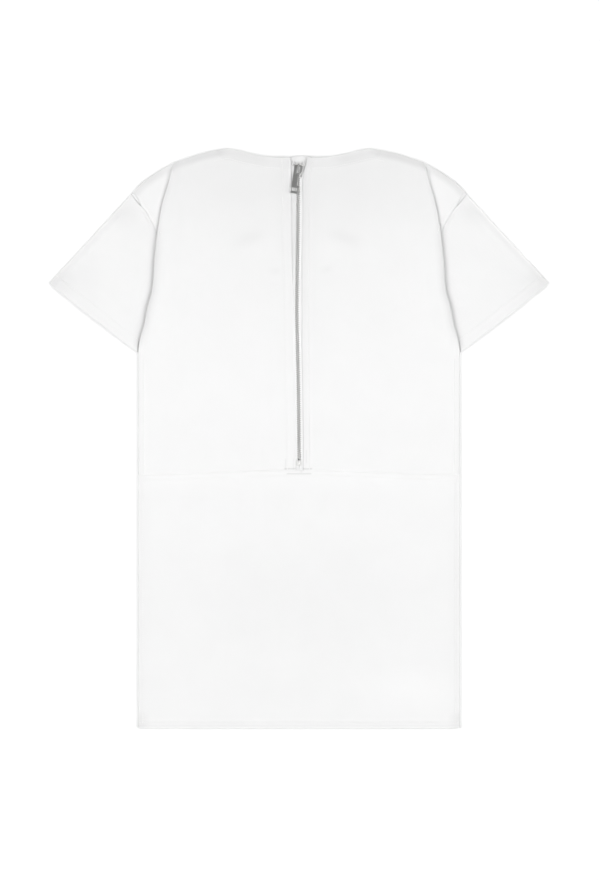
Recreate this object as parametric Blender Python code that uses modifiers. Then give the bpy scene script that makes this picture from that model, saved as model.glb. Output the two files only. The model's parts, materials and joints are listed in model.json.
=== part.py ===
"""Mini dress in white denim with a metal zip down its back, laid flat with the back up.

X runs across the garment, +Y runs from the hem to the neck, and +Z is up from the surface that
the front panels lie on. The origin is on that surface, under the middle of the garment.
The script works in millimetres and turns them into metres where a mesh or curve is made.
"""

import bmesh
import bpy
from math import cos, hypot, pi, radians, sin

MM = 0.001

# Cloth and the layers that it lies in
WALL = 1.0                      # thickness of the denim
GAP = 0.35                      # clearance between neighbouring pieces
LAYER_STEP = WALL + GAP
FOLD_RADIUS = LAYER_STEP / 2    # a turned-under edge joins two neighbouring layers
LOFT = 3.4                      # middle of the back panels where nothing lies under them
FOLD_REACH = FOLD_RADIUS + WALL / 2

# Garment
HALF_WIDTH = 241.5              # from the middle to a side seam
HEM_Y = -435.0
WAIST_MID_Y = -48.0             # waist seam at the zip
WAIST_SIDE_Y = -54.7            # waist seam at the side seams
NECK_MID_Y = 421.5
SHOULDER_TIP = (252.0, 366.0)   # where the armhole seam meets the outer edge
SLEEVE_TIP = (375.0, 233.0)     # outer corner of the cuff
FRONT_NECK_DEPTH = 88.0
WAIST_BAND = 7.5                # seam allowance pressed down under the skirt's top edge
WAIST_BAND_RISE = 0.35
SHOULDER_PUFF = 0.8
SLEEVE_PUFF = 1.1
SLEEVE_START = 0.03             # the first section's share of the outer edge

# Zip
TAPE_OUTER = 17.5
TAPE_TOP_Y = 415.0
TAPE_END_Y = -52.5
CHAIN_HALF = 4.1
CHAIN_HEIGHT = 2.3
CHAIN_TOP_Y = 393.8
CHAIN_END_Y = -32.7
STOP_LENGTH = 8.0
SLIDER_LENGTH = 18.0
SLIDER_MID = (-1.0, 403.6)
SLIDER_TURN = radians(-4.0)     # the slider follows the bow of the zip
BRIDGE_WIDTH = 2.3
BRIDGE_BAR = 1.1
BRIDGE_HALF = 7.7
BRIDGE_HEIGHT = 3.6
BRIDGE_SINK = 0.4               # the feet reach into the slider's top plate
PULL_THICKNESS = 1.4
PULL_BAR = 0.7                  # half the bar that turns under the bridge
PULL_HALF = 4.05
PULL_HEAD_RIGHT = 8.8           # the head reaches past the bridge on its right
PULL_SHOULDER = 7.5             # where the head starts to narrow
PULL_FRAME_RIGHT = 7.4          # and so does the windowed end
PULL_NECK = 17.0                # where it has narrowed to the plate
PULL_FRAME_NEAR = 31.2
# Corners of the eye, which the bridge passes through
PULL_EYE = ((0.0, -0.7), (6.0, -0.7), (6.0, -7.4), (4.8, -13.8), (0.0, -13.8))
PULL_WINDOW = (-2.3, 5.3, 33.6, 38.8)
PULL_END = 42.3
PULL_CORNER = 0.8
PULL_TURN = radians(-8.5)
PULL_AXIS = (-2.8, 408.9)
PULL_LIFT = 1.2                 # the axis above the slider's top plate
PLACKET_FLAT = 16.0             # cloth that lies level on the zip tape
PLACKET_FALL = 30.0

# How the cloth's height changes
NECK_FALL = 14.0                # the back comes down to its top edge over this depth
SIDE_FALL = (13.0, 26.0)        # and to its outer edge over these widths: least and most tucked
FULL_TUCK = 8.0
NECK_SHARE = 0.25               # share of the rows that gather at the corner of the neck
CROWN_SHARE = 0.4               # share of the rows that still follow the top edge
SAG_SHARE = 0.5                 # share of the rows from which they follow the waist
HIGH_FOLD = (0.888, -0.46)      # direction in which the crease folds at its top,
LOW_FOLD = (0.985, 0.17)        # and from FOLD_SWING below that
FOLD_SWING = 50.0
STRAIGHT_SIDE_Y = 150.0         # below this the sides are straight
HIDDEN_MARGIN = 3.5             # flat cloth beyond the part that the crease covers
SHOULDER_ROWS = 6               # rows of the shoulder part that follow the top edge
SHOULDER_ROWS_DEPTH = 30.0
SKIRT_OVER_ZIP = (12.0, 60.0)   # the skirt stays level under the zip's end, then comes down

# Meshes
ARC_STEPS = 4
ARC_STEP = LAYER_STEP / sum(sin(pi * (step + 0.5) / ARC_STEPS) for step in range(ARC_STEPS))
RUN_STEPS = 2
OUTER_STEPS = 4


def layer(number):
    """Height of the middle of a layer of cloth, counted from the surface."""
    return WALL / 2 + number * LAYER_STEP


PIECE_Z = {
    "front": layer(0),
    "under": layer(1),
    "tucked": layer(2),
    "top": layer(3),
}


def table(columns, *rows):
    """Rows of numbers under named columns."""
    return [dict(zip(columns.split(), row)) for row in rows]


# Back neckline from the zip to the shoulder
NECKLINE = table(
    "across up",
    (0.0, 422.0),
    (22.0, 420.7),
    (40.0, 421.2),
    (58.0, 424.2),
    (76.0, 428.0),
    (92.0, 432.0),
    (107.0, 435.0),
)

# Shoulder edge from the neck to the armhole seam
SHOULDER = table(
    "across up",
    (107.0, 435.0),
    (130.5, 431.0),
    (148.5, 427.0),
    (166.5, 421.0),
    (184.5, 414.8),
    (202.5, 406.0),
    (220.5, 394.5),
    (238.5, 381.0),
    (252.0, 366.0),
)

# Outer edge of the back bodice, row by row: the crease over the sleeve, then the side seam.
# turn: how far the cloth turns under, in degrees; tuck: how far it runs back under itself;
# rest: height of its free end below the armhole seam
SIDE = table(
    "up across turn tuck rest",
    (413.0, 189.0, 0.0, 0.3, 3.2),
    (409.0, 190.0, 25.0, 0.3, 3.2),
    (404.0, 191.0, 60.0, 0.3, 3.2),
    (399.0, 192.2, 100.0, 0.3, 3.2),
    (394.0, 193.2, 140.0, 0.4, 3.2),
    (388.0, 194.5, 172.0, 0.8, 3.2),
    (381.0, 196.2, 180.0, 3.0, 3.2),
    (358.0, 203.3, 180.0, 8.0, 3.2),
    (340.0, 207.5, 180.0, 11.0, 3.2),
    (318.0, 211.0, 180.0, 14.0, 3.2),
    (290.0, 214.8, 180.0, 16.5, 3.2),
    (262.0, 217.3, 180.0, 18.0, 3.2),
    (240.0, 218.5, 180.0, 17.0, 3.2),
    (221.0, 220.6, 180.0, 15.0, 3.2),
    (198.0, 227.0, 180.0, 12.0, 3.2),
    (184.0, 229.6, 180.0, 10.0, 3.2),
    (172.0, 231.8, 180.0, 8.0, 3.2),
    (156.0, 236.6, 180.0, 4.0, 3.2),
    (148.0, 238.8, 180.0, 1.5, 3.2),
    (141.0, 240.2, 130.0, 0.6, 2.9),
    (134.0, 241.0, 80.0, 0.5, 2.2),
    (126.0, 241.4, 60.0, 0.5, 1.75),
    (90.0, 241.5, 60.0, 0.5, 1.75),
    (40.0, 241.5, 60.0, 0.5, 1.75),
    (-10.0, 241.5, 60.0, 0.5, 1.75),
    (WAIST_SIDE_Y, 241.5, 60.0, 0.5, 1.75),
)
ARMHOLE_END_Y = 262.0           # row of the crease under which the back armhole seam ends

# Armhole seam of the back, from the shoulder tip: it goes out of sight under the crease
ARMHOLE = table(
    "across up",
    (252.0, 366.0),
    (241.0, 352.5),
    (231.6, 343.0),
    (224.2, 331.0),
    (216.6, 317.0),
    (206.5, 290.0),
    (200.5, 262.0),
)

# Inner edge of the sleeve's upper layer, hidden under the crease down to the cuff
UNDERARM = table(
    "across up",
    (206.0, 236.0),
    (212.0, 215.0),
    (219.0, 196.0),
    (226.0, 174.0),
    (235.0, 155.0),
    (240.6, 143.0),
    (242.6, 129.0),
)

# Front armhole seam below the shoulder part, level with the crease above it
FRONT_ARMHOLE = table(
    "across up",
    (216.6, 317.0),
    (214.8, 290.0),
    (217.3, 262.0),
    (218.5, 240.0),
    (220.6, 221.0),
    (227.0, 198.0),
    (231.8, 172.0),
    (236.6, 155.0),
    (240.2, 141.0),
    (241.5, 128.6),
)

# Folded edges of the two back halves beside the zip
OPENING = table(
    "up left right",
    (426.0, -13.5, 12.5),
    (411.0, -12.6, 10.5),
    (403.0, -12.2, 7.6),
    (396.0, -12.0, 6.4),
    (380.0, -12.0, 5.6),
    (300.0, -11.6, 4.8),
    (230.0, -9.6, 4.2),
    (190.0, -8.2, 4.2),
    (60.0, -6.4, 5.2),
    (0.0, -5.0, 6.2),
    (-60.0, -4.9, 6.2),
)

# Middle line of the chain, and half the free width between the tapes
ZIP_LINE = table(
    "up middle free",
    (415.0, -0.8, 5.6),
    (393.0, -1.6, 5.6),
    (389.0, -1.7, 4.45),
    (357.0, -1.6, 4.45),
    (300.0, -1.9, 4.45),
    (240.0, -2.9, 4.45),
    (192.0, -3.3, 4.45),
    (130.0, -2.2, 4.45),
    (60.0, -0.8, 4.45),
    (-18.0, 0.0, 4.45),
    (-41.5, 0.3, 4.45),
    (-43.0, 0.3, 0.2),
    (-55.0, 0.4, 0.2),
)


def mix(start, end, share):
    return start + (end - start) * share


def ease(share):
    """Smooth step from 0 to 1."""
    share = min(max(share, 0.0), 1.0)
    return share * share * (3 - 2 * share)


def slopes(keys, values):
    """Slopes of a curve through the points that never overshoots them."""
    steps = [(values[i + 1] - values[i]) / (keys[i + 1] - keys[i]) for i in range(len(keys) - 1)]
    inner = []
    for before, after in zip(steps, steps[1:]):
        inner.append(2 * before * after / (before + after) if before * after > 0 else 0.0)
    return [steps[0]] + inner + [steps[-1]]


def smooth_value(keys, values, at):
    """Value at a place on the smooth curve through (key, value) points with rising keys."""
    at = min(max(at, keys[0]), keys[-1])
    index = max(i for i in range(len(keys) - 1) if keys[i] <= at)
    span = keys[index + 1] - keys[index]
    slope = slopes(keys, values)
    t = (at - keys[index]) / span
    start = (1 + 2 * t) * (1 - t) ** 2 * values[index] + t * (1 - t) ** 2 * span * slope[index]
    end = t * t * (3 - 2 * t) * values[index + 1] + t * t * (t - 1) * span * slope[index + 1]
    return start + end


def read(rows, key, at, column):
    """A column of a table at any value of its key column."""
    ordered = sorted(rows, key=lambda row: row[key])
    return smooth_value([row[key] for row in ordered], [row[column] for row in ordered], at)


def path_points(rows):
    return [(row["across"], row["up"]) for row in rows]


def lengths(points):
    """Distance along a chain of plan points, at each of them."""
    total = [0.0]
    for before, after in zip(points, points[1:]):
        total.append(total[-1] + hypot(after[0] - before[0], after[1] - before[1]))
    return total


def along(points, share):
    """Point at a share of the length of the smooth line through plan points."""
    places = lengths(points)
    at = share * places[-1]
    across = smooth_value(places, [point[0] for point in points], at)
    up = smooth_value(places, [point[1] for point in points], at)
    return across, up


def shifted(points, distance):
    """Plan points moved to the left of their direction of travel."""
    moved = []
    for index, (across, up) in enumerate(points):
        before = points[max(index - 1, 0)]
        after = points[min(index + 1, len(points) - 1)]
        run, rise = after[0] - before[0], after[1] - before[1]
        size = hypot(run, rise)
        moved.append((across - rise / size * distance, up + run / size * distance))
    return moved


# ---------------------------------------------------------------- scene and objects


def new_collection(name):
    collection = bpy.data.collections.new(name)
    bpy.context.scene.collection.children.link(collection)
    return collection


def new_material(name, colour, roughness, metallic):
    material = bpy.data.materials.new(name)
    material.use_nodes = True
    shader = material.node_tree.nodes["Principled BSDF"]
    shader.inputs["Base Color"].default_value = (*colour, 1.0)
    shader.inputs["Roughness"].default_value = roughness
    shader.inputs["Metallic"].default_value = metallic
    return material


def add_object(name, data, material):
    data.materials.append(material)
    thing = bpy.data.objects.new(name, data)
    DRESS.objects.link(thing)
    return thing


def grid_faces(grid, width):
    """Quads between neighbouring rows of point numbers."""
    faces = []
    for near, far in zip(grid, grid[1:]):
        for column in range(width - 1):
            faces.append((near[column], near[column + 1], far[column + 1], far[column]))
    return faces


def add_cloth(name, points, faces, material, offset=0.0):
    """An open sheet of cloth given its wall by a Solidify modifier."""
    mesh = bpy.data.meshes.new(name)
    mesh.from_pydata([(x * MM, y * MM, z * MM) for x, y, z in points], [], faces)
    mesh.shade_smooth()
    thing = add_object(name, mesh, material)
    wall = thing.modifiers.new("wall", "SOLIDIFY")
    wall.thickness = WALL * MM
    wall.offset = offset
    wall.use_even_offset = True
    return thing


def add_strip(name, rows, thickness, material):
    """A strip or panel lofted through rows of points with equal counts."""
    width = len(rows[0])
    grid = [[row * width + column for column in range(width)] for row in range(len(rows))]
    points = [point for row in rows for point in row]
    thing = add_cloth(name, points, grid_faces(grid, width), material)
    thing.modifiers["wall"].thickness = thickness * MM
    return thing


def add_plate(name, outlines, thickness, material):
    """A flat plate from closed plan outlines: the first is the rim and the rest are holes."""
    curve = bpy.data.curves.new(name, "CURVE")
    curve.dimensions = "2D"
    curve.fill_mode = "BOTH"
    curve.extrude = thickness * MM / 2
    for outline in outlines:
        spline = curve.splines.new("POLY")
        spline.points.add(len(outline) - 1)
        for point, (across, up) in zip(spline.points, outline):
            point.co = (across * MM, up * MM, 0.0, 1.0)
        spline.use_cyclic_u = True
    return add_object(name, curve, material)


def rounded_box(left, right, bottom, top, radius, steps=4):
    """Outline of a rectangle with round corners."""
    corners = (
        (right - radius, top - radius, 0.0),
        (left + radius, top - radius, pi / 2),
        (left + radius, bottom + radius, pi),
        (right - radius, bottom + radius, 3 * pi / 2),
    )
    outline = []
    for across, up, start in corners:
        for step in range(steps + 1):
            angle = start + pi / 2 * step / steps
            outline.append((across + radius * cos(angle), up + radius * sin(angle)))
    return outline


# ---------------------------------------------------------------- back bodice


def arc_points(turn, start, sign):
    """Offsets (outward, down) along a bend; sign is 1 to turn under and -1 to turn back."""
    out, down = start
    offsets = []
    for step in range(ARC_STEPS):
        share = (step + 0.5) / ARC_STEPS
        heading = turn * (share if sign > 0 else 1 - share)
        out += ARC_STEP * cos(heading)
        down += ARC_STEP * sin(heading)
        offsets.append((out, down))
    return offsets


def fold_down(turn, tuck):
    """Offsets (outward, down) of an edge that turns under and runs back."""
    offsets = arc_points(turn, (0.0, 0.0), 1)
    out, down = offsets[-1]
    for step in range(1, RUN_STEPS + 1):
        run = tuck * step / RUN_STEPS
        offsets.append((out + run * cos(turn), down + run * sin(turn)))
    return offsets


def fold_back(turn, tuck):
    """Offsets of the second turn, which sends the tucked cloth outward again."""
    return arc_points(turn, fold_down(turn, tuck)[-1], -1)


def side_row(up):
    """Everything that the SIDE table says at one height of the outer edge."""
    row = {name: read(SIDE, "up", up, name) for name in ("across", "tuck", "rest")}
    row["up"] = up
    row["turn"] = radians(read(SIDE, "up", up, "turn"))
    if up >= ARMHOLE_END_Y:
        row["lip"] = PIECE_Z["under"] + fold_back(row["turn"], row["tuck"])[-1][1]
    else:
        row["lip"] = row["rest"] + fold_down(row["turn"], row["tuck"])[-1][1]
    bulge = max(out for out, down in arc_points(row["turn"], (0.0, 0.0), 1))
    row["edge"] = row["across"] - bulge - WALL / 2 * sin(min(row["turn"], pi / 2))
    return row


def top_edge(across):
    """Height of the neckline and shoulder edge."""
    if across < NECKLINE[-1]["across"]:
        return read(NECKLINE, "across", across, "up")
    return read(SHOULDER, "across", across, "up")


def waist(across):
    """Height of the waist seam, which dips towards the sides."""
    return mix(WAIST_MID_Y, WAIST_SIDE_Y, ease(abs(across) / HALF_WIDTH))


def side_share(inside, row):
    """Share of the outer edge's own height, a distance inside that edge."""
    level = row["tuck"] + 2 * row["turn"] / pi
    fall = mix(*SIDE_FALL, ease((row["tuck"] - SIDE[-1]["tuck"]) / FULL_TUCK))
    return 1 - ease((inside - level) / fall)


def bodice_height(across, up, zip_distance, row):
    """Middle of the back bodice's cloth at a place inside its edges."""
    height = mix(LOFT, PIECE_Z["under"], 1 - ease((top_edge(across) - up) / NECK_FALL))
    height = mix(PIECE_Z["top"], height, ease((zip_distance - PLACKET_FLAT) / PLACKET_FALL))
    return mix(height, row["lip"], side_share(row["edge"] - across, row))


# Places of the columns between the zip and the outer edge
BODICE_COLUMNS = (0.0, 0.07, 0.16, 0.26, 0.40, 0.53, 0.64, 0.76, 0.86, 0.93, 0.97, 1.0)
NECK_COLUMN = 5                 # this column starts at the corner of the neck


def bodice_main_row(row, opening):
    """One row of the bodice from the zip to the crease or side seam."""
    edge = row["edge"]
    top, bottom = SIDE[0]["up"], WAIST_SIDE_Y
    share = (top - row["up"]) / (top - bottom)
    zip_up = mix(NECK_MID_Y, WAIST_MID_Y, share)
    zip_across = abs(read(OPENING, "up", zip_up, opening))
    top_edge_across = side_row(top)["edge"]
    neck = (NECKLINE[-1]["across"] - zip_across) / (top_edge_across - zip_across)
    points = []
    for index, place in enumerate(BODICE_COLUMNS):
        place = mix(neck if index == NECK_COLUMN else place, place, ease(share / NECK_SHARE))
        across = mix(zip_across, edge, place)
        start_across = mix(zip_across, top_edge_across, place)
        level = mix(zip_up, row["up"], place)
        crown = top_edge(start_across) - mix(NECK_MID_Y, top, place)
        sag = waist(across) - mix(WAIST_MID_Y, WAIST_SIDE_Y, place)
        up = level + crown * (1 - ease(share / CROWN_SHARE))
        up += sag * ease((share - SAG_SHARE) / (1 - SAG_SHARE))
        height = bodice_height(across, up, across - zip_across, row)
        points.append((across, up, height))
    return points


def outward(row):
    """Direction in plan in which the outer edge of a row folds."""
    turned = ease((SIDE[0]["up"] - row["up"]) / FOLD_SWING)
    across, up = (mix(HIGH_FOLD[i], LOW_FOLD[i], turned) for i in (0, 1))
    if row["up"] < STRAIGHT_SIDE_Y:
        across, up = 1.0, 0.0
    size = hypot(across, up)
    return across / size, up / size


def folded_points(row, start, offsets):
    direction = outward(row)
    points = []
    for out, down in offsets:
        across = start[0] + direction[0] * out
        points.append((across, start[1] + direction[1] * out, start[2] - down))
    return points


def armhole_rows():
    return [row["up"] for row in SIDE if row["up"] >= ARMHOLE_END_Y]


def armhole_seam():
    """Plan points of the back armhole seam, one for each row of the crease above it."""
    rows = armhole_rows()
    shares = [(rows[0] - up) / (rows[0] - rows[-1]) for up in rows]
    return [along(path_points(ARMHOLE), share) for share in shares]


def shoulder_part(row, number, valley, seam):
    """Cloth between the crease's hidden valley and the armhole seam."""
    points = []
    size = hypot(seam[0] - valley[0], seam[1] - valley[1])
    covered = row["tuck"] + HIDDEN_MARGIN
    open_size = max(size - covered, 1.0)
    first = min(covered / size, 0.4)
    for step in range(OUTER_STEPS):
        share = mix(first, 1.0, step / (OUTER_STEPS - 1))
        across, up = mix(valley[0], seam[0], share), mix(valley[1], seam[1], share)
        if row["up"] > SIDE[0]["up"] - SHOULDER_ROWS_DEPTH and number < SHOULDER_ROWS:
            up += (top_edge(across) - up) * (1 - number / SHOULDER_ROWS)
        clear = min(max((share * size - covered) / open_size, 0.0), 1.0)
        puff = SHOULDER_PUFF * sin(pi * clear) * ease((open_size - 8) / 25) * ease(number / 3)
        points.append((across, up, PIECE_Z["under"] + puff))
    return points


def back_bodice(side, material):
    """Half of the back: from the zip, over the crease and its tuck, to the armhole seam."""
    opening = "right" if side > 0 else "left"
    seam = armhole_seam()
    points, main, shoulder = [], [], []
    for number, heights in enumerate(SIDE):
        row = side_row(heights["up"])
        line = bodice_main_row(row, opening)
        line += folded_points(row, line[-1], fold_down(row["turn"], row["tuck"]))
        main.append(range(len(points), len(points) + len(line)))
        points += line
        if row["up"] < ARMHOLE_END_Y:
            continue
        edge = line[len(BODICE_COLUMNS) - 1]
        beyond = folded_points(row, edge, fold_back(row["turn"], row["tuck"]))
        beyond += shoulder_part(row, number, beyond[-1], seam[number])
        shoulder.append([len(points) - 1, *range(len(points), len(points) + len(beyond))])
        points += beyond
    faces = grid_faces(main, len(main[0])) + grid_faces(shoulder, len(shoulder[0]))
    if side > 0:
        faces = [face[::-1] for face in faces]
    points = [(side * x, y, z) for x, y, z in points]
    return add_cloth(f"back_bodice_{opening}", points, faces, material)


# ---------------------------------------------------------------- sleeves and front


def sleeve_inner(lower):
    """Plan points of the armhole side of a sleeve's upper or lower layer."""
    seam = armhole_seam()
    count = len(UNDERARM)
    if not lower:
        return shifted(seam + path_points(UNDERARM), GAP)
    visible = [point for point in seam if point[1] > FRONT_ARMHOLE[0]["up"]]
    rest = len(seam) + count - len(visible)
    front = path_points(FRONT_ARMHOLE)
    return visible + [along(front, step / (rest - 1)) for step in range(rest)]


SLEEVE_UPPER = (0.0, 0.08, 0.2, 0.36, 0.54, 0.72, 0.88, 1.0)
SLEEVE_LOWER = (0.0, 0.3, 0.65, 1.0)


def sleeve(side, material):
    """A flat tube, from its outside inward: upper layer, outer fold and lower layer."""
    upper = sleeve_inner(lower=False)
    lower = shifted(sleeve_inner(lower=True), GAP)
    places = lengths(upper)
    run = [SLEEVE_TIP[i] - SHOULDER_TIP[i] for i in (0, 1)]
    away = (-run[1] / hypot(*run), run[0] / hypot(*run))
    rows = []
    for number, (inner, under) in enumerate(zip(upper, lower)):
        share = mix(SLEEVE_START, 1.0, places[number] / places[-1])
        fold = tuple(mix(SHOULDER_TIP[i], SLEEVE_TIP[i], share) for i in (0, 1))
        fold = (fold[0] - FOLD_REACH * away[0], fold[1] - FOLD_REACH * away[1])
        size = hypot(fold[0] - inner[0], fold[1] - inner[1])
        line = []
        for place in SLEEVE_UPPER:
            puff = SLEEVE_PUFF * sin(pi * ease(place)) ** 2 * ease((size - 25) / 70)
            if number > len(armhole_rows()) - 3:
                puff *= ease((place * size - 22) / 20)
            across, up = mix(inner[0], fold[0], place), mix(inner[1], fold[1], place)
            line.append((across, up, 2 * FOLD_REACH + puff))
        for step in range(1, ARC_STEPS):
            angle = pi * step / ARC_STEPS
            out = FOLD_REACH * sin(angle)
            height = FOLD_REACH * (1 + cos(angle))
            line.append((fold[0] + away[0] * out, fold[1] + away[1] * out, height))
        for place in SLEEVE_LOWER:
            line.append((mix(fold[0], under[0], place), mix(fold[1], under[1], place), 0.0))
        rows.append([(side * x, y, z) for x, y, z in line])
    name = "sleeve_right" if side > 0 else "sleeve_left"
    thing = add_strip(name, rows, WALL, material)
    if side < 0:
        thing.data.flip_normals()
    thing.modifiers["wall"].offset = 1.0
    return thing


WAIST_COLUMNS = (HALF_WIDTH, 200.0, 150.0, 100.0, 50.0)


def front_bodice(material):
    """The front above the waist, flat on the surface, with a scooped neck."""
    neck = SHOULDER[0]
    half = []
    for step in range(9):
        angle = pi / 2 * step / 9
        across = neck["across"] * sin(angle)
        half.append((across, neck["up"] - FRONT_NECK_DEPTH * cos(angle)))
    half += path_points(SHOULDER)[:-1]
    half += sleeve_inner(lower=True)
    half += [(across, waist(across)) for across in WAIST_COLUMNS]
    mirrored = [(-across, up) for across, up in half[::-1]]
    outline = half + [(0.0, waist(0.0))] + mirrored[:-1]
    thing = add_plate("front_bodice", [outline], WALL, material)
    thing.location.z = PIECE_Z["front"] * MM
    return thing


# ---------------------------------------------------------------- skirt


SKIRT_ROWS = (0.0, 1.5, 6.5, 9.5, 30.0, 80.0, 160.0, 250.0, 330.0, 366.0, 386.0)
SKIRT_COLUMNS = (0.0, 20.0, 46.0, 90.0, 140.0, 190.0, 220.0, 231.0)


def skirt_height(across, below, row):
    """Middle of the back skirt's cloth, a distance below the waist seam."""
    over_zip = 1 - ease((abs(across) - PLACKET_FLAT) / PLACKET_FALL)
    level, fall = SKIRT_OVER_ZIP
    height = mix(LOFT, PIECE_Z["top"], over_zip * (1 - ease((below - level) / fall)))
    height = mix(height, row["lip"], side_share(row["edge"] - abs(across), row))
    band = ease((below - 0.5) / 1.0) * (1 - ease((below - WAIST_BAND + 1) / 2))
    return height + WAIST_BAND_RISE * band


def skirt_back(material):
    """Straight panel over the front skirt, its side edges rolled down."""
    edge = side_row(WAIST_SIDE_Y)
    rows = []
    for below in SKIRT_ROWS:
        share = below / SKIRT_ROWS[-1]
        half = []
        for across in (*SKIRT_COLUMNS, edge["edge"]):
            top = waist(across) - GAP
            up = mix(top, HEM_Y, share) if below > 30 else top - below
            half.append((across, up, skirt_height(across, below, edge)))
        half += folded_points(edge, half[-1], fold_down(edge["turn"], edge["tuck"]))
        rows.append([(-x, y, z) for x, y, z in half[:0:-1]] + half)
    return add_strip("skirt_back", rows, WALL, material)


def skirt_front(material):
    """Straight panel on the surface."""
    top = [(across, waist(across) - GAP) for across in (*WAIST_COLUMNS, 0.0)]
    top += [(-across, up) for across, up in top[-2::-1]]
    outline = [(HALF_WIDTH, HEM_Y), *top, (-HALF_WIDTH, HEM_Y)]
    thing = add_plate("skirt_front", [outline], WALL, material)
    thing.location.z = PIECE_Z["front"] * MM
    return thing


# ---------------------------------------------------------------- zip


def zip_line(up, column):
    return read(ZIP_LINE, "up", up, column)


def steps_between(start, end, count):
    return [mix(start, end, step / count) for step in range(count + 1)]


def zip_tape(side, material):
    """Woven tape under a folded edge, from the teeth outward."""
    rows = []
    heights = steps_between(TAPE_TOP_Y, 394.0, 2) + steps_between(389.0, -41.6, 14)
    heights += steps_between(-43.0, TAPE_END_Y, 1)
    for up in heights:
        inner = zip_line(up, "middle") + side * zip_line(up, "free")
        outer = side * TAPE_OUTER
        rows.append([(inner, up, PIECE_Z["tucked"]), (outer, up, PIECE_Z["tucked"])])
    if side > 0:
        rows = [row[::-1] for row in rows]
    return add_strip("zip_tape_right" if side > 0 else "zip_tape_left", rows, WALL, material)


def chain_base():
    """Height of the underside of the teeth, level with the underside of the tape."""
    return PIECE_Z["tucked"] - WALL / 2


def zip_chain(material):
    """The closed teeth as one strip."""
    rows = []
    middle = chain_base() + CHAIN_HEIGHT / 2
    for up in steps_between(CHAIN_TOP_Y, CHAIN_END_Y, 16):
        across = zip_line(up, "middle")
        rows.append([(across - CHAIN_HALF, up, middle), (across + CHAIN_HALF, up, middle)])
    return add_strip("zip_chain", rows, CHAIN_HEIGHT, material)


def zip_guard(material):
    """Small underlap behind the top of the zip, seen just above the neck edge."""
    outline = rounded_box(-9.0, 20.0, 378.0, 425.6, 3.0)
    thing = add_plate("zip_guard", [outline], WALL, material)
    thing.location.z = PIECE_Z["under"] * MM
    return thing


def add_block(name, centre, size, bevel, material):
    """A small box with bevelled edges, its size applied to its mesh."""
    bpy.ops.mesh.primitive_cube_add(size=1.0)
    thing = bpy.context.object
    thing.name = name
    thing.data.name = name
    for vertex in thing.data.vertices:
        vertex.co = [vertex.co[axis] * size[axis] * MM for axis in range(3)]
    thing.location = [value * MM for value in centre]
    thing.data.materials.append(material)
    for collection in thing.users_collection:
        collection.objects.unlink(thing)
    DRESS.objects.link(thing)
    edges = thing.modifiers.new("edges", "BEVEL")
    edges.width = bevel * MM
    edges.segments = 2
    return thing


def zip_stops(material):
    """Box stop under the teeth, and two crimped stops on the tapes beside the slider."""
    height = CHAIN_HEIGHT + 0.4
    up = CHAIN_END_Y - GAP - STOP_LENGTH / 2
    centre = (zip_line(up, "middle"), up, chain_base() + height / 2)
    add_block("zip_bottom_stop", centre, (2 * CHAIN_HALF, STOP_LENGTH, height), 0.6, material)
    base = PIECE_Z["tucked"] + WALL / 2 + GAP
    for name, across in (("left", -9.3), ("right", 7.8)):
        centre = (across, 409.6, base + 0.8)
        add_block(f"zip_top_stop_{name}", centre, (2.2, 3.4, 1.6), 0.4, material)


SLIDER_SECTIONS = table(
    "height width length",
    (0.0, 0.80, 0.94),
    (0.3, 0.84, 1.0),
    (0.8, 0.84, 1.0),
    (1.1, 0.56, 0.78),
    (2.6, 0.56, 0.78),
    (2.8, 0.98, 0.98),
    (3.1, 1.0, 1.0),
    (3.6, 1.0, 1.0),
    (3.9, 0.93, 0.96),
)
SLIDER_HALF_TOP = 6.0
SLIDER_HALF_END = 4.3


def slider_outline():
    """Crown of the slider from above: wide at the top, chain-wide at its mouth."""
    half = SLIDER_LENGTH / 2
    right = [(SLIDER_HALF_END - 0.8, -half), (SLIDER_HALF_END, -half + 1.2)]
    right += [(SLIDER_HALF_END + 0.3, -2.0), (SLIDER_HALF_TOP - 0.3, 3.0)]
    right += [(SLIDER_HALF_TOP, half - 3.0), (SLIDER_HALF_TOP - 1.4, half - 0.8)]
    right += [(SLIDER_HALF_TOP - 3.4, half)]
    return right + [(-across, up) for across, up in right[::-1]]


def slider_body():
    """The two plates and the wedge between them, lofted through the slider's outline."""
    outline = slider_outline()
    points, rings = [], []
    for section in SLIDER_SECTIONS:
        rings.append(range(len(points), len(points) + len(outline)))
        for across, up in outline:
            height = section["height"]
            points.append((across * section["width"], up * section["length"], height))
    faces = [tuple(rings[0])[::-1], tuple(rings[-1])]
    for low, high in zip(rings, rings[1:]):
        for index in range(len(outline)):
            after = (index + 1) % len(outline)
            faces.append((low[index], low[after], high[after], high[index]))
    mesh = bpy.data.meshes.new("zip_slider")
    mesh.from_pydata([(x * MM, y * MM, z * MM) for x, y, z in points], [], faces)
    return mesh


def arch(half, height, radius):
    """Points over an arch with round shoulders, from one foot to the other."""
    points = [(half, -BRIDGE_SINK)]
    for across, start in ((half - radius, 0.0), (radius - half, pi / 2)):
        for step in range(5):
            angle = start + pi / 2 * step / 4
            points.append((across + radius * cos(angle), height - radius + radius * sin(angle)))
    return points + [(-half, -BRIDGE_SINK)]


def as_mesh_object(plate):
    """A plate's evaluated shape as a closed mesh object in the tools' collection."""
    bpy.context.view_layer.update()
    evaluated = plate.evaluated_get(bpy.context.evaluated_depsgraph_get())
    mesh = bpy.data.meshes.new_from_object(evaluated)
    form = bmesh.new()
    form.from_mesh(mesh)
    bmesh.ops.remove_doubles(form, verts=form.verts, dist=0.01 * MM)
    form.to_mesh(mesh)
    form.free()
    thing = bpy.data.objects.new(plate.name + "_tool", mesh)
    thing.matrix_world = plate.matrix_world.copy()
    TOOLS.objects.link(thing)
    bpy.data.objects.remove(plate)
    thing.hide_render = True
    thing.display_type = "WIRE"
    return thing


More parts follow.
